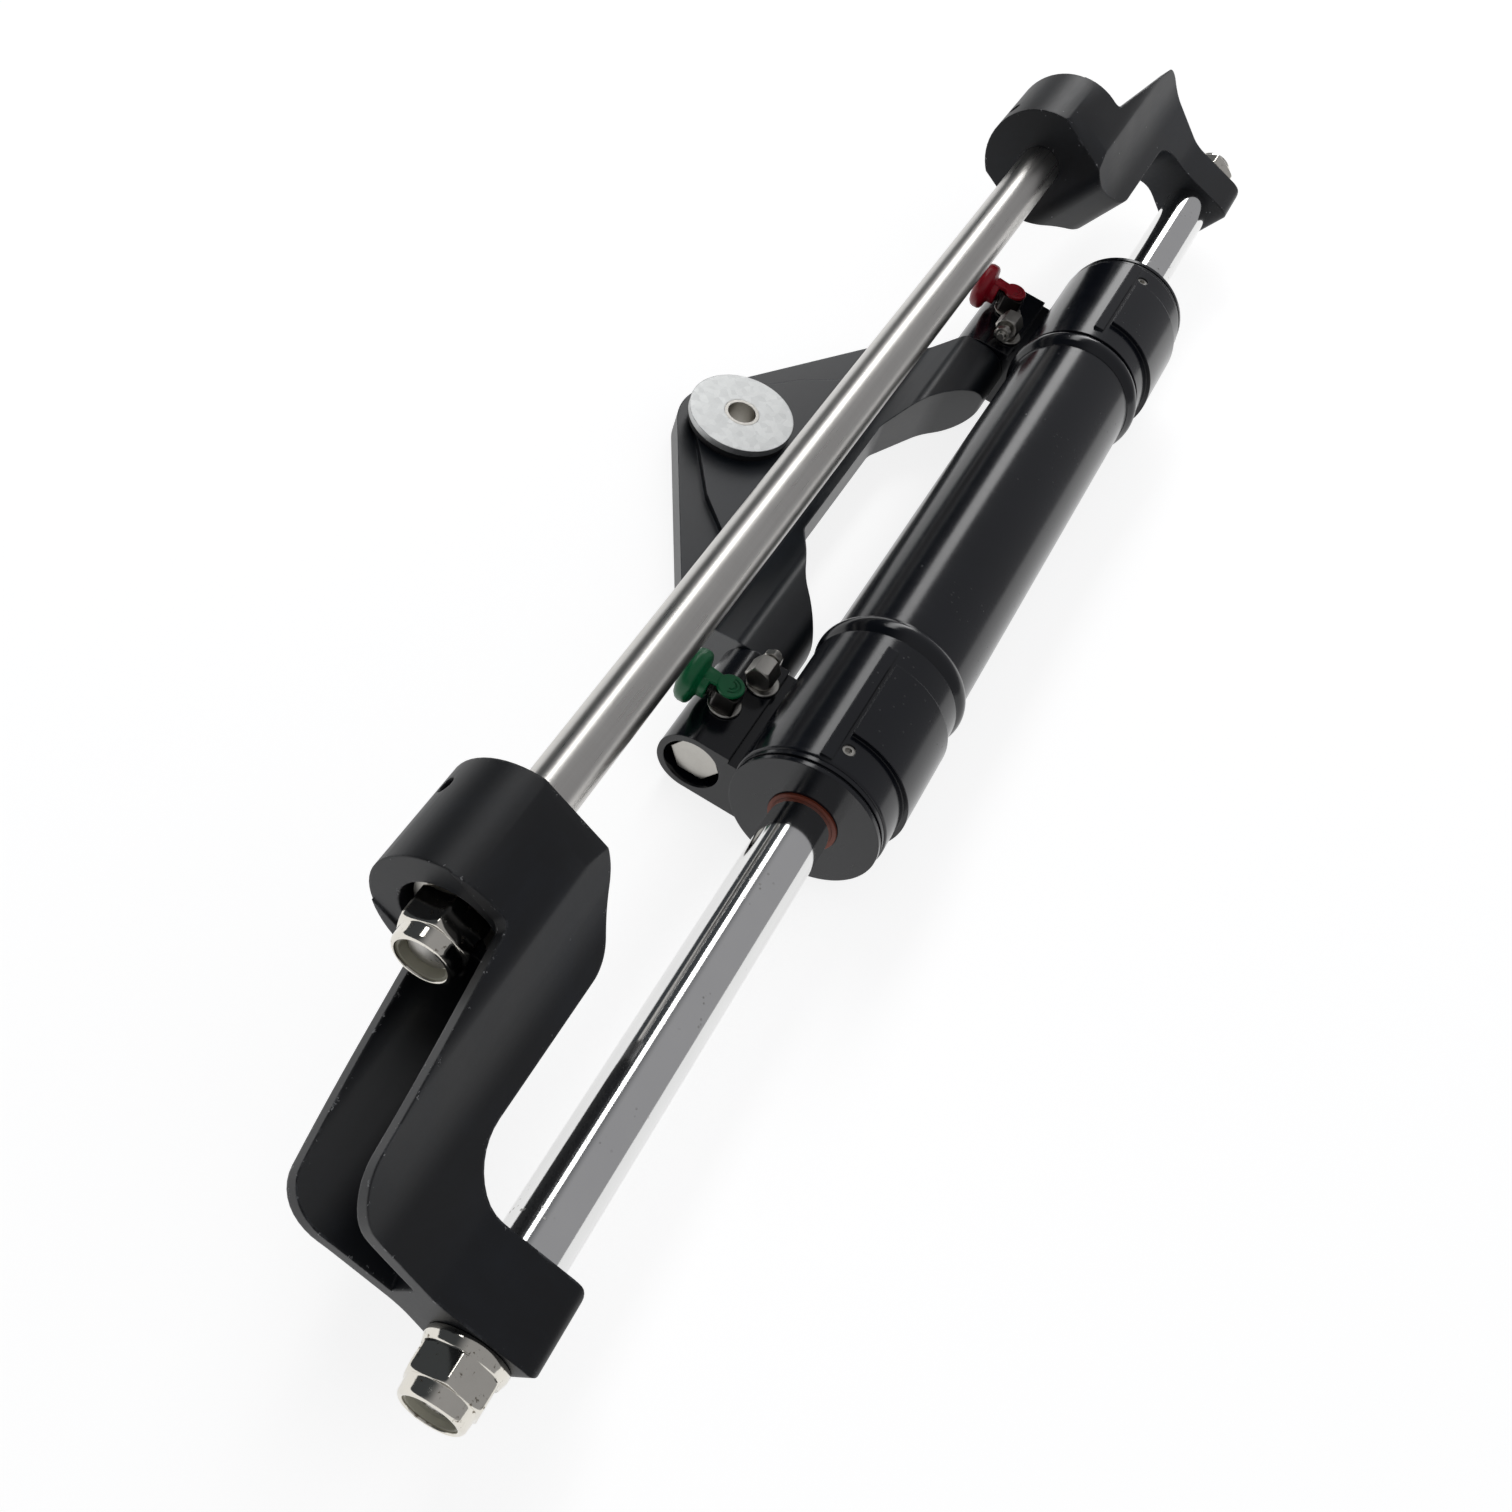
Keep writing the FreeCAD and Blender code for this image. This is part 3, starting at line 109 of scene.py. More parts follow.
class Finish:
    """A material under construction, with one Principled shader."""

    def __init__(self, name):
        self.material = bpy.data.materials.new(name)
        self.material.use_nodes = True
        self.tree = self.material.node_tree
        self.shader = self.tree.nodes["Principled BSDF"]
        self.place = self.node("ShaderNodeTexCoord", {}, {}).outputs["Object"]

    def node(self, kind, settings, inputs):
        """Any node: its type, its settings, then the values or links of its sockets."""
        made = self.tree.nodes.new(kind)
        for name, value in settings.items():
            setattr(made, name, value)
        for name, value in inputs.items():
            self.feed(made.inputs[name], value)
        return made

    def feed(self, socket, value):
        if isinstance(value, Value):
            value = value.socket
        if isinstance(value, bpy.types.NodeSocket):
            self.tree.links.new(value, socket)
        elif socket.type == "RGBA" and len(value) == 3:
            socket.default_value = (*value, 1.0)
        else:
            socket.default_value = value

    def math(self, operation, *terms):
        made = self.node("ShaderNodeMath", {"operation": operation}, dict(enumerate(terms)))
        return Value(self, made.outputs[0])

    def stretched(self, scale, turn=(0.0, 0.0, 0.0)):
        """Object coordinates with a scale of their own along each axis."""
        return self.node("ShaderNodeMapping", {}, {
            "Vector": self.place, "Scale": scale, "Rotation": turn}).outputs["Vector"]

    def noise(self, scale, detail=3.0, roughness=0.5, vector=None, distortion=0.0):
        made = self.node("ShaderNodeTexNoise", {}, {
            "Vector": vector or self.place, "Scale": scale, "Detail": detail,
            "Roughness": roughness, "Distortion": distortion})
        return Value(self, made.outputs["Fac"])

    def cells(self, scale, output="Distance"):
        made = self.node("ShaderNodeTexVoronoi", {"feature": "F1"}, {
            "Vector": self.place, "Scale": scale})
        return made.outputs[output]

    def blend(self, mask, colour, other):
        """Colour where the mask is 0, the other colour where it is 1."""
        made = self.node("ShaderNodeMix", {"data_type": "RGBA"}, {0: mask, 6: colour, 7: other})
        return made.outputs[2]

    def specks(self, scale, size):
        """Small round dots, scattered: 1 inside a dot."""
        distance = Value(self, self.cells(scale))
        chosen = self.noise(scale / 9.0, 1.0).above(0.58, 0.04)
        return (1.0 - distance.above(size, size * 0.35)) * chosen

    def rounded(self, radius):
        """The normal as it would be if each edge had this radius."""
        made = self.node("ShaderNodeBevel", {"samples": 4}, {"Radius": radius})
        return made.outputs["Normal"]

    def edges(self, radius):
        """1 on the edges of the piece, 0 on its flats."""
        facing = self.node("ShaderNodeNewGeometry", {}, {}).outputs["Normal"]
        made = self.node("ShaderNodeVectorMath", {"operation": "DOT_PRODUCT"}, {
            0: self.rounded(radius), 1: facing})
        return (1.0 - Value(self, made.outputs["Value"])).above(0.05, 0.045)

    def surface(self, colour, roughness, metallic=0.0, height=None, depth=0.0,
                edge_radius=0.0, fixed=()):
        """Join everything to the shader; depth is the bump height in metres."""
        self.feed(self.shader.inputs["Base Color"], colour)
        self.feed(self.shader.inputs["Roughness"], roughness)
        self.feed(self.shader.inputs["Metallic"], metallic)
        for name, value in dict(fixed).items():
            self.shader.inputs[name].default_value = value
        normal = self.rounded(edge_radius) if edge_radius else None
        if height is not None:
            bump = {"Height": height, "Distance": depth, "Strength": 1.0}
            if normal is not None:
                bump["Normal"] = normal
            normal = self.node("ShaderNodeBump", {}, bump).outputs["Normal"]
        if normal is not None:
            self.feed(self.shader.inputs["Normal"], normal)
        return self.material


# ------------------------------------------------------------------- finishes
def drawn_stainless():
    """Support rod: bright stainless with fine lines along its length."""
    f = Finish("drawn_stainless")
    lines = f.noise(1.0, 4.0, 0.65, f.stretched((14.0, 900.0, 900.0)))
    rings = f.noise(1.0, 2.0, 0.5, f.stretched((1600.0, 60.0, 60.0)))
    clouds = f.noise(38.0, 3.0, 0.6)
    tone = lines * 0.55 + rings * 0.2 + clouds * 0.25
    colour = f.blend(tone, (0.50, 0.485, 0.46), (0.70, 0.685, 0.66))
    rough = 0.17 + lines * 0.16 + clouds * 0.10
    return f.surface(colour, rough, 1.0, lines + rings * 0.5, 0.000012, 0.0004)


def hard_chrome():
    """Piston rod: mirror chrome, a little hazy, with a few flecks near the ends."""
    f = Finish("hard_chrome")
    haze = f.noise(26.0, 4.0, 0.6)
    lines = f.noise(1.0, 3.0, 0.6, f.stretched((30.0, 1100.0, 1100.0)))
    flecks = f.specks(420.0, 0.16)
    colour = f.blend(haze, (0.70, 0.70, 0.70), (0.82, 0.82, 0.81))
    colour = f.blend(flecks * 0.8, colour, (0.30, 0.29, 0.27))
    rough = 0.035 + haze * 0.05 + lines * 0.04 + flecks * 0.3
    return f.surface(colour, rough, 1.0, lines, 0.000004, 0.0004)


def anodised_black():
    """Barrel, blocks and glands: black anodised metal with fine lathe lines."""
    f = Finish("barrel_black")
    lines = f.noise(1.0, 3.0, 0.55, f.stretched((1500.0, 40.0, 40.0)))
    smears = f.noise(30.0, 4.0, 0.62)
    dust = f.specks(330.0, 0.12)
    colour = f.blend(smears, (0.0022, 0.0028, 0.0055), (0.0055, 0.0075, 0.0130))
    colour = f.blend(dust * 0.12, colour, (0.20, 0.20, 0.19))
    rough = 0.09 + smears * 0.10 + lines * 0.08 + dust * 0.2
    return f.surface(colour, rough, 0.0, lines, 0.000006, 0.0005, {
        "Specular IOR Level": 0.5, "Coat Weight": 0.0})


def bracket_black():
    """Brackets: satin black with a navy cast, rubbed and chipped along the edges."""
    f = Finish("bracket_black")
    grain = f.noise(900.0, 3.0, 0.6)
    rubs = f.noise(22.0, 6.0, 0.68, distortion=0.4)
    scratches = f.noise(1.0, 4.0, 0.7, f.stretched((90.0, 700.0, 700.0), (0.3, 0.5, 0.2)))
    worn = f.edges(0.0011) * f.noise(95.0, 5.0, 0.72).above(0.56, 0.06)
    nicks = f.edges(0.0024) * f.noise(520.0, 3.0, 0.7).above(0.66, 0.03)
    flecks = f.specks(150.0, 0.05)
    colour = f.blend(rubs.above(0.55, 0.16), (0.0036, 0.0044, 0.0064), (0.0085, 0.0115, 0.0175))
    colour = f.blend(worn * 0.55, colour, (0.16, 0.17, 0.185))
    colour = f.blend(nicks, colour, (0.52, 0.53, 0.54))
    colour = f.blend(flecks * 0.5, colour, (0.30, 0.31, 0.33))
    rough = 0.37 + rubs * 0.14 + scratches * 0.05 - worn * 0.08
    return f.surface(colour, rough, 0.0, grain * 0.7 + scratches * 0.3, 0.000020, 0.0009, {
        "Specular IOR Level": 0.42})


def plate_black():
    """Pivot plate: satin bluish black, with milling lines along its length."""
    f = Finish("plate_black")
    milling = f.noise(1.0, 3.0, 0.6, f.stretched((30.0, 1100.0, 1100.0)))
    rubs = f.noise(28.0, 5.0, 0.65, distortion=0.3)
    worn = f.edges(0.0008) * f.noise(120.0, 4.0, 0.7).above(0.5, 0.08)
    colour = f.blend(rubs.above(0.52, 0.2), (0.0040, 0.0055, 0.0085), (0.0095, 0.0135, 0.0200))
    colour = f.blend(worn * 0.45, colour, (0.11, 0.13, 0.155))
    rough = 0.28 + rubs * 0.12 + milling * 0.08
    return f.surface(colour, rough, 0.0, milling, 0.000012, 0.0007, {"Specular IOR Level": 0.6})


def mottled_zinc():
    """Large tiller washer: bright zinc with a mottled, lightly scratched face."""
    f = Finish("mottled_zinc")
    crystals = Value(f, f.cells(420.0, output="Color"))
    mottle = f.noise(330.0, 5.0, 0.7)
    scratches = f.noise(1.0, 4.0, 0.75, f.stretched((80.0, 900.0, 200.0), (0.0, 0.0, 0.6)))
    tone = crystals * 0.35 + mottle * 0.45 + scratches * 0.2
    colour = f.blend(tone, (0.43, 0.44, 0.44), (0.78, 0.79, 0.78))
    rough = 0.34 + mottle * 0.22
    return f.surface(colour, rough, 0.85, mottle, 0.000030, 0.0004)


def bright_plate(name, light, dark, spotted):
    """Bright plated steel of nuts; spotted is the share of dull marks."""
    f = Finish(name)
    haze = f.noise(160.0, 4.0, 0.6)
    marks = f.noise(420.0, 4.0, 0.7).above(0.70 - spotted, 0.035)
    colour = f.blend(haze, light, tuple(c * 0.86 for c in light))
    colour = f.blend(marks, colour, dark)
    rough = 0.05 + haze * 0.08 + marks * 0.25
    return f.surface(colour, rough, 1.0, haze, 0.000010, 0.0003)


def dull_steel(name, light, dark, rough_from):
    """Bolt heads, fittings and rings in plain stainless steel."""
    f = Finish(name)
    grain = f.noise(700.0, 3.0, 0.65)
    stains = f.noise(90.0, 4.0, 0.6)
    colour = f.blend(stains * 0.6 + grain * 0.4, dark, light)
    return f.surface(colour, rough_from + grain * 0.14, 1.0, grain, 0.000012, 0.0004)


def moulded(name, light, dark, roughness):
    """Moulded plastic or rubber with a faint mould texture."""
    f = Finish(name)
    grain = f.noise(1200.0, 2.0, 0.5)
    tone = f.noise(80.0, 4.0, 0.6)
    colour = f.blend(tone, dark, light)
    return f.surface(colour, roughness + tone * 0.12, 0.0, grain, 0.000014, 0.0005)


FINISHES = {
    "brushed_stainless": drawn_stainless(),
    "hard_chrome": hard_chrome(),
    "bracket_black": bracket_black(),
    "barrel_black": anodised_black(),
    "plate_black": plate_black(),
    "zinc_washer": mottled_zinc(),
    "bright_nut": bright_plate("bright_nut", (0.80, 0.77, 0.70), (0.22, 0.19, 0.15), 0.06),
    "dull_stainless": dull_steel("dull_stainless", (0.60, 0.585, 0.55), (0.38, 0.365, 0.335), 0.24),
    "nylon": moulded("nylon_insert", (0.66, 0.64, 0.52), (0.52, 0.50, 0.39), 0.42),
    "piston_alloy": dull_steel("piston_alloy", (0.72, 0.72, 0.72), (0.56, 0.56, 0.57), 0.20),
    "bush_bronze": dull_steel("bush_bronze", (0.52, 0.36, 0.17), (0.36, 0.23, 0.10), 0.26),
    "wiper_orange": moulded("wiper_orange", (0.30, 0.066, 0.028), (0.17, 0.032, 0.014), 0.42),
    "cap_green": moulded("cap_green", (0.002, 0.205, 0.070), (0.001, 0.125, 0.040), 0.30),
    "cap_red": moulded("cap_red", (0.52, 0.008, 0.028), (0.32, 0.004, 0.014), 0.30),
    "black_rubber": moulded("black_rubber", (0.016, 0.016, 0.017), (0.009, 0.009, 0.010), 0.55),
}


def put_on(piece, material):
    piece.data.materials.clear()
    piece.data.materials.append(material)


for row in frame["record"]["subparts"]:
    put_on(nodes[row["node"]], FINISHES[row["material_slot"]])


# ---------------------------------------------------------------- made pieces
def smooth_minimum(a, b, softness):
    """The smaller of two radii, with the edge between them rounded."""
    return -softness * math.log(math.exp(-a / softness) + math.exp(-b / softness))


def disc(centre, radius, steps=64):
    turns = [2 * math.pi * k / steps for k in range(steps)]
    return [(centre[0] + radius * math.cos(a), centre[1] + radius * math.sin(a)) for a in turns]


def bridge(form, rings):
    """Faces between each ring of points and the next."""
    for ring, after in zip(rings, rings[1:]):
        for k in range(len(ring)):
            n = (k + 1) % len(ring)
            form.faces.new((ring[k], ring[n], after[n], after[k]))


def as_piece(form, name):
    """Turn the faces outwards and make an object of the form."""
    bmesh.ops.recalc_face_normals(form, faces=form.faces)
    mesh = bpy.data.meshes.new(name)
    form.to_mesh(mesh)
    form.free()
    piece = bpy.data.objects.new(name, mesh)
    bpy.context.scene.collection.objects.link(piece)
    return piece


def turned_grid(name, stations, radius_at, axis, steps):
    """A closed surface round an axis along X; stations are (x, code), in millimetres."""
    form = bmesh.new()
    rings = []
    for x, code in stations:
        ring = []
        for k in range(steps):
            turn = 2 * math.pi * k / steps
            r = radius_at(code, turn)
            place = (x, axis[0] + r * math.cos(turn), axis[1] + r * math.sin(turn))
            ring.append(form.verts.new(Vector(place) * MM))
        rings.append(ring)
    rings.append(rings[0])
    bridge(form, rings)
    for face in form.faces:
        face.smooth = True
    return as_piece(form, name)


def hexagon_radius(flats, turn):
    """Distance to the side of a hexagon with a corner above and one below."""
    part = (turn + math.pi / 6) % (math.pi / 3) - math.pi / 6
    return flats / 2 / math.cos(part)


def lock_nut(name, side, seat, axis, flanged):
    """Bright lock nut: chamfered hexagon, rounded collar and a lip over its insert."""
    if flanged:
        hexagon_start, chamfer_from, chamfer_step = 3.4, 10.2, 0.3
        profile = [(0.0, 10.6, 0), (0.3, 10.9, 0), (1.5, 10.9, 0), (2.1, 10.75, 0),
                   (2.7, 10.5, 0), (3.2, 10.3, 0), (3.6, 10.2, 0)]
    else:
        hexagon_start, chamfer_from, chamfer_step = 0.0, 9.75, 0.28
        profile = [(0.0, 9.1, 0), (0.15, 9.5, 0)]
    for k in range(9):
        profile.append((hexagon_start + 0.2 + 0.25 * k, chamfer_from + chamfer_step * k, 1))
    for k in range(11):
        angle = math.pi / 2 * k / 10
        profile.append((8.6 + 2.9 * math.sin(angle), 9.1 + 2.4 * math.cos(angle), 1))
    profile += [(12.0, 9.0, 0), (13.2, 8.95, 0), (14.2, 8.85, 0)]
    for k in range(1, 9):
        angle = math.pi / 2 * k / 8
        profile.append((14.4 + 1.5 * math.sin(angle), 7.45 + 1.4 * math.cos(angle), 0))
    profile += [(15.75, 7.15, 0), (15.4, 7.05, 0), (15.2, 7.1, 0), (15.2, 7.88, 0),
                (12.0, 7.88, 0), (12.0, 6.36, 0), (0.0, 6.36, 0)]

    def radius_at(code, turn):
        limit, hexed = code
        return smooth_minimum(limit, hexagon_radius(NUT_FLATS, turn), 0.16) if hexed else limit

    stations = [(side * (seat + s), (limit, hexed)) for s, limit, hexed in profile]
    piece = turned_grid(f"{name}_lock_nut", stations, radius_at, axis, 96)
    put_on(piece, FINISHES["bright_nut"])
    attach(piece, "rod_frame")
    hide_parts(name)


for side, place in SIDES:
    lock_nut(f"{place}_support_nut", side, SUPPORT_NUT_SEAT, SUPPORT_AXIS, False)
    lock_nut(f"{place}_rod_nut", side, ROD_NUT_SEAT, PISTON_AXIS, True)


def rounded_outline(corners, steps=10):
    """Points of a closed outline; a corner (x, y, radius) becomes an arc."""
    points = []
    for i, corner in enumerate(corners):
        here = Vector(corner[:2])
        back = (Vector(corners[i - 1][:2]) - here).normalized()
        ahead = (Vector(corners[(i + 1) % len(corners)][:2]) - here).normalized()
        half = back.angle(ahead) / 2
        if len(corner) < 3 or half > 1.57:
            points.append(here)
            continue
        centre = here + (back + ahead).normalized() * (corner[2] / math.sin(half))
        first = here + back * (corner[2] / math.tan(half)) - centre
        turn = first.angle_signed(here + ahead * (corner[2] / math.tan(half)) - centre)
        for k in range(steps + 1):
            angle = -turn * k / steps
            points.append(centre + Matrix.Rotation(angle, 2) @ first)
    return points


def prism(name, outline, start, end, to_place):
    """A closed solid: an outline carried from one height to another by to_place."""
    form = bmesh.new()
    ends = []
    for height in (start, end):
        ends.append([form.verts.new(Vector(to_place(a, b, height)) * MM) for a, b in outline])
    bridge(form, ends)
    form.faces.new(ends[0])
    form.faces.new(ends[1])
    return as_piece(form, name)


def combine(piece, kind, tool):
    """Keep what two solids share, join them, or cut one from the other."""
    change = piece.modifiers.new(kind.lower(), "BOOLEAN")
    change.operation, change.object, change.solver = kind, tool, "EXACT"
    graph = bpy.context.evaluated_depsgraph_get()
    graph.update()
    made = bpy.data.meshes.new_from_object(piece.evaluated_get(graph))
    piece.modifiers.clear()
    piece.data = made
    bpy.data.objects.remove(tool)


def shade(piece, degrees):
    """Smooth shading that stops at edges sharper than an angle."""
    piece.data.polygons.foreach_set("use_smooth", [True] * len(piece.data.polygons))
    piece.data.set_sharp_from_angle(angle=math.radians(degrees))


# Brackets: u along the rods, v from the support rod away from the piston rod, n across
TILT = math.atan2(-PISTON_AXIS[1], -PISTON_AXIS[0])
ROD_SPACING = math.hypot(PISTON_AXIS[1], PISTON_AXIS[0])
INNER_END = 188.7
BOSS_RADIUS = 22.3
PLAN_HALF = 22.32
BLANK_HALF = 23.0
KNEE_HALF = 13.0
WAIST_HALF = 8.4
FOOT_HALF = 13.5
WALL = 4.5
WEB_BOTTOM = -34.0
FOOT_BOTTOM = -76.5
FOOT_START, FOOT_END = 270.0, 293.0

# Bores of a bracket: radius, place along v, start and end along u
BRACKET_BORES = (
    (7.94, 0.0, 180.0, 205.0),  # support rod
    (6.4, 0.0, 204.0, 218.0),  # its threaded end
    (14.0, 0.0, 216.5, 226.0),  # its sunk nut
    (6.4, -ROD_SPACING, 265.0, 300.0),  # threaded end of the piston rod
)


def in_bracket(side, u, v, n):
    return (side * u, v * math.cos(TILT) - n * math.sin(TILT),
            v * math.sin(TILT) + n * math.cos(TILT))


def flank_outline(inset, bottom_half):
    """Section across the rods: round over the boss, straight, then drawn in to a waist."""
    radius = BOSS_RADIUS - inset
    if inset:
        over = [(BOSS_RADIUS, radius)]
    else:
        turns = [math.radians(d) for d in range(0, 90, 6)]
        over = [(radius * math.cos(a), radius * math.sin(a)) for a in turns] + [(0.0, radius)]
    lower = rounded_outline([
        (0.0, radius), (-10.0, radius, 9.0), (-24.0, KNEE_HALF - inset, 26.0),
        (-48.0, WAIST_HALF - inset, 20.0), (-71.0, bottom_half - inset, 6.0),
        (FOOT_BOTTOM, bottom_half - inset, 3.5), (FOOT_BOTTOM, 0.0)], 6)[1:-1]
    one_side = over + lower
    return one_side + [(v, -n) for v, n in reversed(one_side) if n > 1e-6]


def plan_outline():
    """Plan of a bracket: full width over the boss, drawn in a little at the inner end."""
    edge = [(211.0 - 23.0 * k / 12, PLAN_HALF - 2.4 * (k / 12) ** 2) for k in range(12)]
    edge = rounded_outline([*edge, (187.9, 19.9)])
    other_edge = [(187.9, -19.9)] + [(u, -n) for u, n in reversed(edge[:-1])]
    return edge + other_edge + [(300.0, -PLAN_HALF), (300.0, PLAN_HALF)]


def bracket(name, side):
    """Channel bracket: boss, waisted walls, rounded corners and a solid foot."""
    def from_side(u, v, n):
        return in_bracket(side, u, v, n)

    def from_end(v, n, u):
        return in_bracket(side, u, v, n)

    def from_above(u, n, v):
        return in_bracket(side, u, v, n)

    profile = rounded_outline([
        (INNER_END, 24.0), (INNER_END, -18.0, 12.0), (206.0, WEB_BOTTOM, 16.0),
        (FOOT_START, WEB_BOTTOM, 16.0), (FOOT_START, FOOT_BOTTOM, 4.0),
        (FOOT_END, FOOT_BOTTOM, 4.0), (FOOT_END, -14.0, 13.0), (224.0, -4.0, 3.0),
        (223.0, 24.0)])
    body = prism(f"{name}_dressed", profile, -BLANK_HALF, BLANK_HALF, from_side)
    flanks = flank_outline(0.0, FOOT_HALF)
    combine(body, "INTERSECT", prism("flanks", flanks, 180.0, 300.0, from_end))
    combine(body, "INTERSECT", prism("plan", plan_outline(), -80.0, 30.0, from_above))
    channel = prism("channel", rounded_outline([
        (216.5, -8.0), (216.5, -29.0), (275.0, -29.0, 9.0), (275.0, -38.5), (296.0, -43.5),
        (296.0, 30.0), (223.0, 30.0), (223.0, -8.0)]), -BLANK_HALF, BLANK_HALF, from_side)
    inside = flank_outline(WALL, WAIST_HALF)
    combine(channel, "INTERSECT", prism("inside", inside, 200.0, 300.0, from_end))
    combine(body, "DIFFERENCE", channel)
    for radius, v, start, end in BRACKET_BORES:
        combine(body, "DIFFERENCE", prism("bore", disc((v, 0.0), radius), start, end, from_end))
    screw_hole = prism("screw_hole", disc((197.5, 0.0), 2.6, 32), 7.0, 24.0, from_above)
    combine(body, "DIFFERENCE", screw_hole)
    shade(body, 24.0)
    put_on(body, FINISHES["bracket_black"])
    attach(body, "rod_frame")
    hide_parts(name)


for side, place in SIDES:
    bracket(f"{place}_bracket", side)


# Pivot plate, from the pivot axis and the barrel's middle
PIVOT = (BARREL_MIDDLE, -18.0, -49.5)
TILLER_REACH = 56.6
TILLER_BORE = 6.3
BOLT_BORE = 6.41
BOLT_BORE_END = 79.7
LEG_OUTER = 96.7
PLATE_TOP, PLATE_BOTTOM = 10.8, -11.0


def on_pivot(x, y, z):
    return (PIVOT[0] + x, PIVOT[1] + y, PIVOT[2] + z)


def beside_pivot(y, z, x):
    return on_pivot(x, y, z)


def mirrored(corners):
    return [(-c[0], *c[1:]) for c in reversed(corners)]


def pivot_plate():
    """Forked plate: an arched inner edge, thick legs with blind bores, a raised plateau."""
    right = [(77.0, -10.8, 5.0), (LEG_OUTER, -10.8), (LEG_OUTER, 8.0, 4.0), (77.0, 37.0, 12.0)]
    top = [(0.0, 81.42, 21.5)]
    inner = [(33.0, 14.4, 10.0), (58.0, 3.6, 40.0)]
    outline = rounded_outline(right + top + mirrored(right) + mirrored(inner) + inner, 14)
    plate = prism("pivot_plate_dressed", outline, PLATE_BOTTOM, PLATE_TOP, on_pivot)
    side_form = rounded_outline([
        (-10.8, PLATE_BOTTOM, 10.4), (110.0, PLATE_BOTTOM), (110.0, 1.2), (19.0, 1.2, 7.0),
        (8.0, PLATE_TOP, 6.0), (-10.8, PLATE_TOP, 10.4)], 14)
    combine(plate, "INTERSECT", prism("side_form", side_form, -98.0, 98.0, beside_pivot))
    edge = [(50.0, 20.0), (50.0, 36.0, 3.0), (38.0, 49.0, 4.0)]
    rim = [(0.0, 76.24, 17.5)]
    around = [(-98.0, 20.0), (-98.0, 110.0), (98.0, 110.0), (98.0, 20.0)]
    step = rounded_outline(edge + rim + mirrored(edge) + around, 14)
    combine(plate, "DIFFERENCE", prism("step", step, -1.4, 12.0, on_pivot))
    tiller_hole = disc((0.0, TILLER_REACH), TILLER_BORE)
    combine(plate, "DIFFERENCE", prism("tiller_bore", tiller_hole, -12.0, 3.0, on_pivot))
    bolt_hole = disc((0.0, 0.0), BOLT_BORE)
    for side in (STARBOARD, PORT):
        combine(plate, "DIFFERENCE", prism("bolt_bore", bolt_hole, side * BOLT_BORE_END,
                                           side * 98.0, beside_pivot))
    shade(plate, 24.0)
    put_on(plate, FINISHES["plate_black"])
    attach(plate, "pivot_plate")
    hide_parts("pivot_plate")


pivot_plate()


# Hose fittings, from a gland face inwards and from the piston rod axis
LUG_TOP = -6.0
ELBOW_PLACE = (27.0, 38.6)
OUTLET_HEIGHT = 4.9
BLEEDER_PLACE = (41.6, 32.8)
BLEEDER_SHIFT, BLEEDER_HEIGHT = 1.2, 5.0
BLEEDER_LEAN = math.radians(-32.0)
TAB_SHIFT = 0.4
DARK_FITTING = dull_steel("dark_fitting", (0.085, 0.080, 0.075), (0.045, 0.043, 0.042), 0.30)


def in_block(side, depth, y, z):
    return (BARREL_MIDDLE + side * (BARREL_HALF - depth), PISTON_AXIS[0] + y, PISTON_AXIS[1] + z)


def turned(name, stations, frame_of, steps=40):
    """A closed turned form; stations are (distance, radius) along frame_of's third number."""
    form = bmesh.new()
    rings = []
    for t, r in stations:
        rings.append([form.verts.new(Vector(frame_of(a, b, t)) * MM)
                      for a, b in disc((0.0, 0.0), max(r, 0.02), steps)])
    bridge(form, rings)
    form.faces.new(rings[0])
    form.faces.new(rings[-1])
    return as_piece(form, name)


def thread(start, end, root, crest, pitch):
    """Stations of a coarse thread: the radius rises and falls along the stub."""
    count = int((end - start) / pitch)
    stations = []
    for k in range(count):
        t = start + k * pitch
        stations += [(t, root), (t + pitch * 0.35, crest), (t + pitch * 0.6, crest)]
    return stations + [(end, root)]


def hex_outline(flats, turn=0.0):
    radius = flats / math.sqrt(3)
    return [(radius * math.cos(turn + math.pi * k / 3), radius * math.sin(turn + math.pi * k / 3))
            for k in range(6)]


def finish_piece(piece, node, slot, angle=28.0, finish=None):
    shade(piece, angle)
    put_on(piece, finish or FINISHES[slot])
    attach(piece, "barrel")
    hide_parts(node)


def above(side, spot):
    """Up from a spot on the lug: along the barrel, across it, and the height."""
    return lambda a, b, t: in_block(side, spot[0] + a, spot[1] + b, LUG_TOP + t)


def outwards(side):
    """Round the outlet's axis, which leaves the elbow away from the barrel."""
    return lambda a, b, t: in_block(side, ELBOW_PLACE[0] + a, ELBOW_PLACE[1] + t,
                                    LUG_TOP + OUTLET_HEIGHT + b)


def fitting_rings(side, place):
    """Flat base rings under the elbow and the bleeder."""
    section = [(0.0, 3.0), (0.0, 5.0), (0.35, 5.35), (0.7, 5.35), (1.0, 5.0), (1.0, 3.0)]
    rings = turned(f"{place}_ring", section, above(side, ELBOW_PLACE), 48)
    under_bleeder = turned(f"{place}_ring", section, above(side, BLEEDER_PLACE), 48)
    combine(rings, "UNION", under_bleeder)
    finish_piece(rings, f"{place}_fitting_rings", "dull_stainless")


def hose_elbow(side, place):
    """Square block with rounded corners and a threaded outlet."""
    square = [(-3.9, -3.9, 1.1), (3.9, -3.9, 1.1), (3.9, 3.9, 1.1), (-3.9, 3.9, 1.1)]
    block = prism(f"{place}_elbow", rounded_outline(square, 5), 0.9, 8.0,
                  above(side, ELBOW_PLACE))
    outlet = [(0.0, 3.0), *thread(3.6, 7.4, 2.7, 3.1, 0.9), (7.5, 3.0), (11.5, 3.0)]
    combine(block, "UNION", turned("outlet", outlet, outwards(side)))
    finish_piece(block, f"{place}_hose_elbow", "dull_stainless", finish=DARK_FITTING)


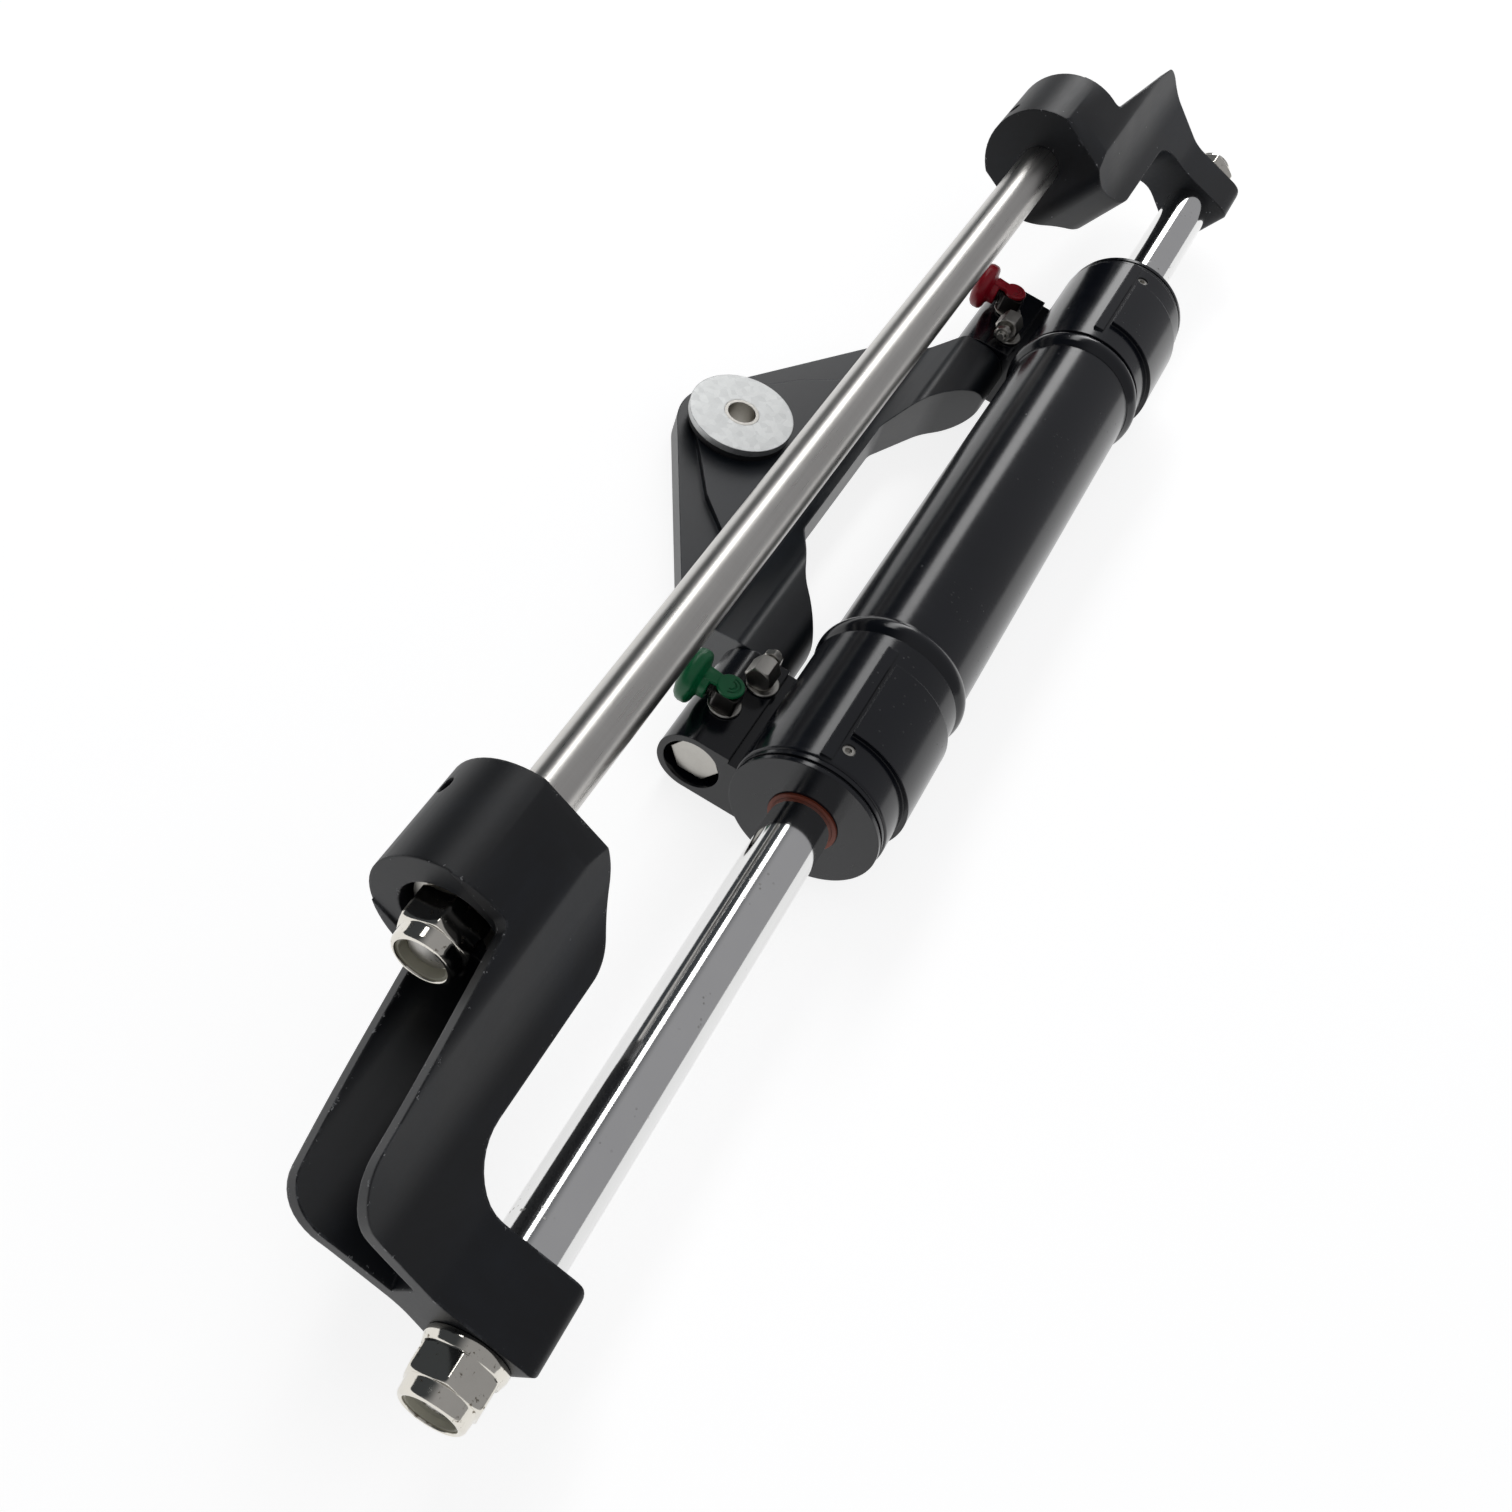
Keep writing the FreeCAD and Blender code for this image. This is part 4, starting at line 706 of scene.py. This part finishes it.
def hose_cap(side, place, cap_slot):
    """Cap over the outlet, with a strap to a tab that has two grooves."""
    up, out = above(side, ELBOW_PLACE), outwards(side)
    cap = turned(f"{place}_cap", [
        (6.3, 3.9), (6.3, 4.5), (6.6, 4.8), (8.6, 4.9), (9.2, 5.6), (9.6, 7.6), (10.0, 8.3),
        (10.8, 8.8), (12.6, 8.9), (13.8, 8.5), (14.8, 7.4), (15.4, 5.6), (15.7, 3.0), (15.8, 0.0)],
        out, 56)
    tab = [(0.35, 4.05), (0.7, 4.35), (1.5, 4.35), (1.8, 4.05)]
    combine(cap, "UNION", turned("tab", tab, lambda a, b, t: up(a, b + TAB_SHIFT, t + 7.9), 48))
    strap = rounded_outline([(-1.9, 2.0), (1.9, 2.0), (2.6, 8.5), (-2.6, 8.5)], 4)
    combine(cap, "UNION", prism("strap", strap, 8.35, 9.6, up))
    middle, groove_half = (0.0, TAB_SHIFT), 0.28
    half = [(-5.0, TAB_SHIFT), (5.0, TAB_SHIFT), (5.0, 6.0), (-5.0, 6.0)]
    for radius in (1.5, 2.7):
        cut = prism("groove", disc(middle, radius + groove_half), 9.35, 10.0, up)
        core = prism("core", disc(middle, radius - groove_half), 9.0, 10.5, up)
        combine(cut, "DIFFERENCE", core)
        combine(cut, "DIFFERENCE", prism("half", half, 9.0, 10.5, up))
        combine(cap, "DIFFERENCE", cut)
    finish_piece(cap, f"{place}_hose_cap", cap_slot, 34.0)


def bleeder(side, place):
    """Leaning hexagon on a stem, with a threaded stub and its nut."""
    def along(a, b, t):
        """Across the bleeder, round its axis, which runs inwards along the barrel."""
        y = a * math.cos(BLEEDER_LEAN) - b * math.sin(BLEEDER_LEAN)
        z = a * math.sin(BLEEDER_LEAN) + b * math.cos(BLEEDER_LEAN)
        return in_block(side, BLEEDER_PLACE[0] + t, BLEEDER_PLACE[1] + BLEEDER_SHIFT + y,
                        LUG_TOP + BLEEDER_HEIGHT + z)

    body = prism(f"{place}_bleeder", hex_outline(8.2, math.pi / 6), -3.9, 3.6, along)
    corners = turned("corners", [(-4.0, 3.7), (-3.2, 4.9), (2.9, 4.9), (3.7, 3.7)], along, 48)
    combine(body, "INTERSECT", corners)
    stem = turned("stem", [(0.0, 3.2), (3.0, 3.2)], above(side, BLEEDER_PLACE))
    combine(body, "UNION", stem)
    stub = [(3.0, 2.0), *thread(3.7, 8.2, 1.75, 2.1, 0.75), (8.4, 1.6), (9.6, 1.5)]
    combine(body, "UNION", turned("stub", stub, along, 32))
    finish_piece(body, f"{place}_bleeder", "dull_stainless")
    nut = prism(f"{place}_stub_nut", hex_outline(5.6), 5.6, 8.0, along)
    combine(nut, "INTERSECT", turned("nut_corners", [(5.5, 2.6), (6.0, 3.15), (7.6, 3.15),
                                                     (8.1, 2.6)], along, 40))
    finish_piece(nut, f"{place}_bleeder_nut", "dull_stainless")


for (side, place), cap_slot in zip(SIDES, ("cap_green", "cap_red")):
    fitting_rings(side, place)
    hose_elbow(side, place)
    hose_cap(side, place, cap_slot)
    bleeder(side, place)


# ------------------------------------------------------- floor, light, camera
def ray_share(finish, kinds):
    paths = finish.node("ShaderNodeLightPath", {}, {})
    share = Value(finish, paths.outputs[kinds[0]])
    for kind in kinds[1:]:
        share = share.math("MAXIMUM", Value(finish, paths.outputs[kind]))
    return share


def pale_floor(lowest):
    """A plain pale floor just under the object, which keeps the object's shadow."""
    f = Finish("pale_floor")
    f.shader.inputs["Base Color"].default_value = (0.80, 0.80, 0.80, 1.0)
    f.shader.inputs["Roughness"].default_value = 0.9
    f.shader.inputs["Specular IOR Level"].default_value = 0.1
    glow = f.node("ShaderNodeEmission", {}, {"Color": (1.0, 1.0, 1.0), "Strength": 1.66})
    share = ray_share(f, ("Is Camera Ray", "Is Glossy Ray", "Is Transmission Ray")) * 0.5
    mixed = f.node("ShaderNodeMixShader", {}, {
        0: share, 1: f.shader.outputs["BSDF"], 2: glow.outputs["Emission"]})
    f.feed(f.tree.nodes["Material Output"].inputs["Surface"], mixed.outputs["Shader"])
    mesh = bpy.data.meshes.new("floor")
    reach, height = 4.0, lowest - 0.0005
    corners = [(-reach, -reach), (reach, -reach), (reach, reach), (-reach, reach)]
    mesh.from_pydata([(x, y, height) for x, y in corners], [], [(0, 1, 2, 3)])
    floor = bpy.data.objects.new("floor", mesh)
    bpy.context.scene.collection.objects.link(floor)
    put_on(floor, f.material)


def soft_box(name, place, aim, size, strength):
    """A rectangular soft light; strength is its brightness, where 1 is white."""
    lamp = bpy.data.lights.new(name, "AREA")
    lamp.shape = "RECTANGLE"
    lamp.size, lamp.size_y = size
    lamp.energy = strength * math.pi * size[0] * size[1]
    box = bpy.data.objects.new(name, lamp)
    bpy.context.scene.collection.objects.link(box)
    box.location = place
    towards = Vector(aim) - Vector(place)
    across = Vector((1.0, 0.0, 0.0))
    back = -towards.normalized()
    up = back.cross(across).normalized()
    across = up.cross(back)
    box.rotation_euler = Matrix((across, up, back)).transposed().to_euler()


def studio_world():
    """A dim, even room: darker on the tiller side, so that the rods show a dark band."""
    world = bpy.data.worlds.new("studio")
    bpy.context.scene.world = world
    world.use_nodes = True
    tree = world.node_tree
    direction = tree.nodes.new("ShaderNodeTexCoord").outputs["Generated"]
    split = tree.nodes.new("ShaderNodeSeparateXYZ")
    tree.links.new(direction, split.inputs[0])
    ramp = tree.nodes.new("ShaderNodeValToRGB")
    ramp.color_ramp.interpolation = "EASE"
    low, high = ramp.color_ramp.elements
    low.position, low.color = 0.52, (0.34, 0.34, 0.35, 1.0)
    high.position, high.color = 0.80, (0.05, 0.055, 0.06, 1.0)
    shift = tree.nodes.new("ShaderNodeMapRange")
    shift.inputs["From Min"].default_value = -1.0
    tree.links.new(split.outputs["Y"], shift.inputs["Value"])
    tree.links.new(shift.outputs["Result"], ramp.inputs["Fac"])
    background = tree.nodes["Background"]
    tree.links.new(ramp.outputs["Color"], background.inputs["Color"])
    background.inputs["Strength"].default_value = 1.0


def photo_camera():
    """Camera at the photograph's place, 0.55 m from the middle of the object."""
    camera = bpy.data.cameras.new("camera")
    camera.sensor_width, camera.lens = 36.0, 39.36
    camera.clip_start, camera.clip_end = 0.02, 50.0
    holder = bpy.data.objects.new("camera", camera)
    bpy.context.scene.collection.objects.link(holder)
    right = Vector((0.4419, -0.8574, 0.2637))
    up = Vector((0.6521, 0.5089, 0.562))
    back = right.cross(up).normalized()
    up = back.cross(right).normalized()
    turn = Matrix((right.normalized(), up, back)).transposed()
    holder.matrix_world = Matrix.Translation(Vector((-404.4, -71.3, 345.5)) * MM) @ turn.to_4x4()
    bpy.context.scene.camera = holder


pale_floor(frame_box[0].z)
soft_box("long_window", (1.55, 0.85, 1.40), (0.05, -0.03, 0.0), (3.6, 0.46), 4.0)
studio_world()
photo_camera()
bpy.context.scene.view_settings.view_transform = "Standard"
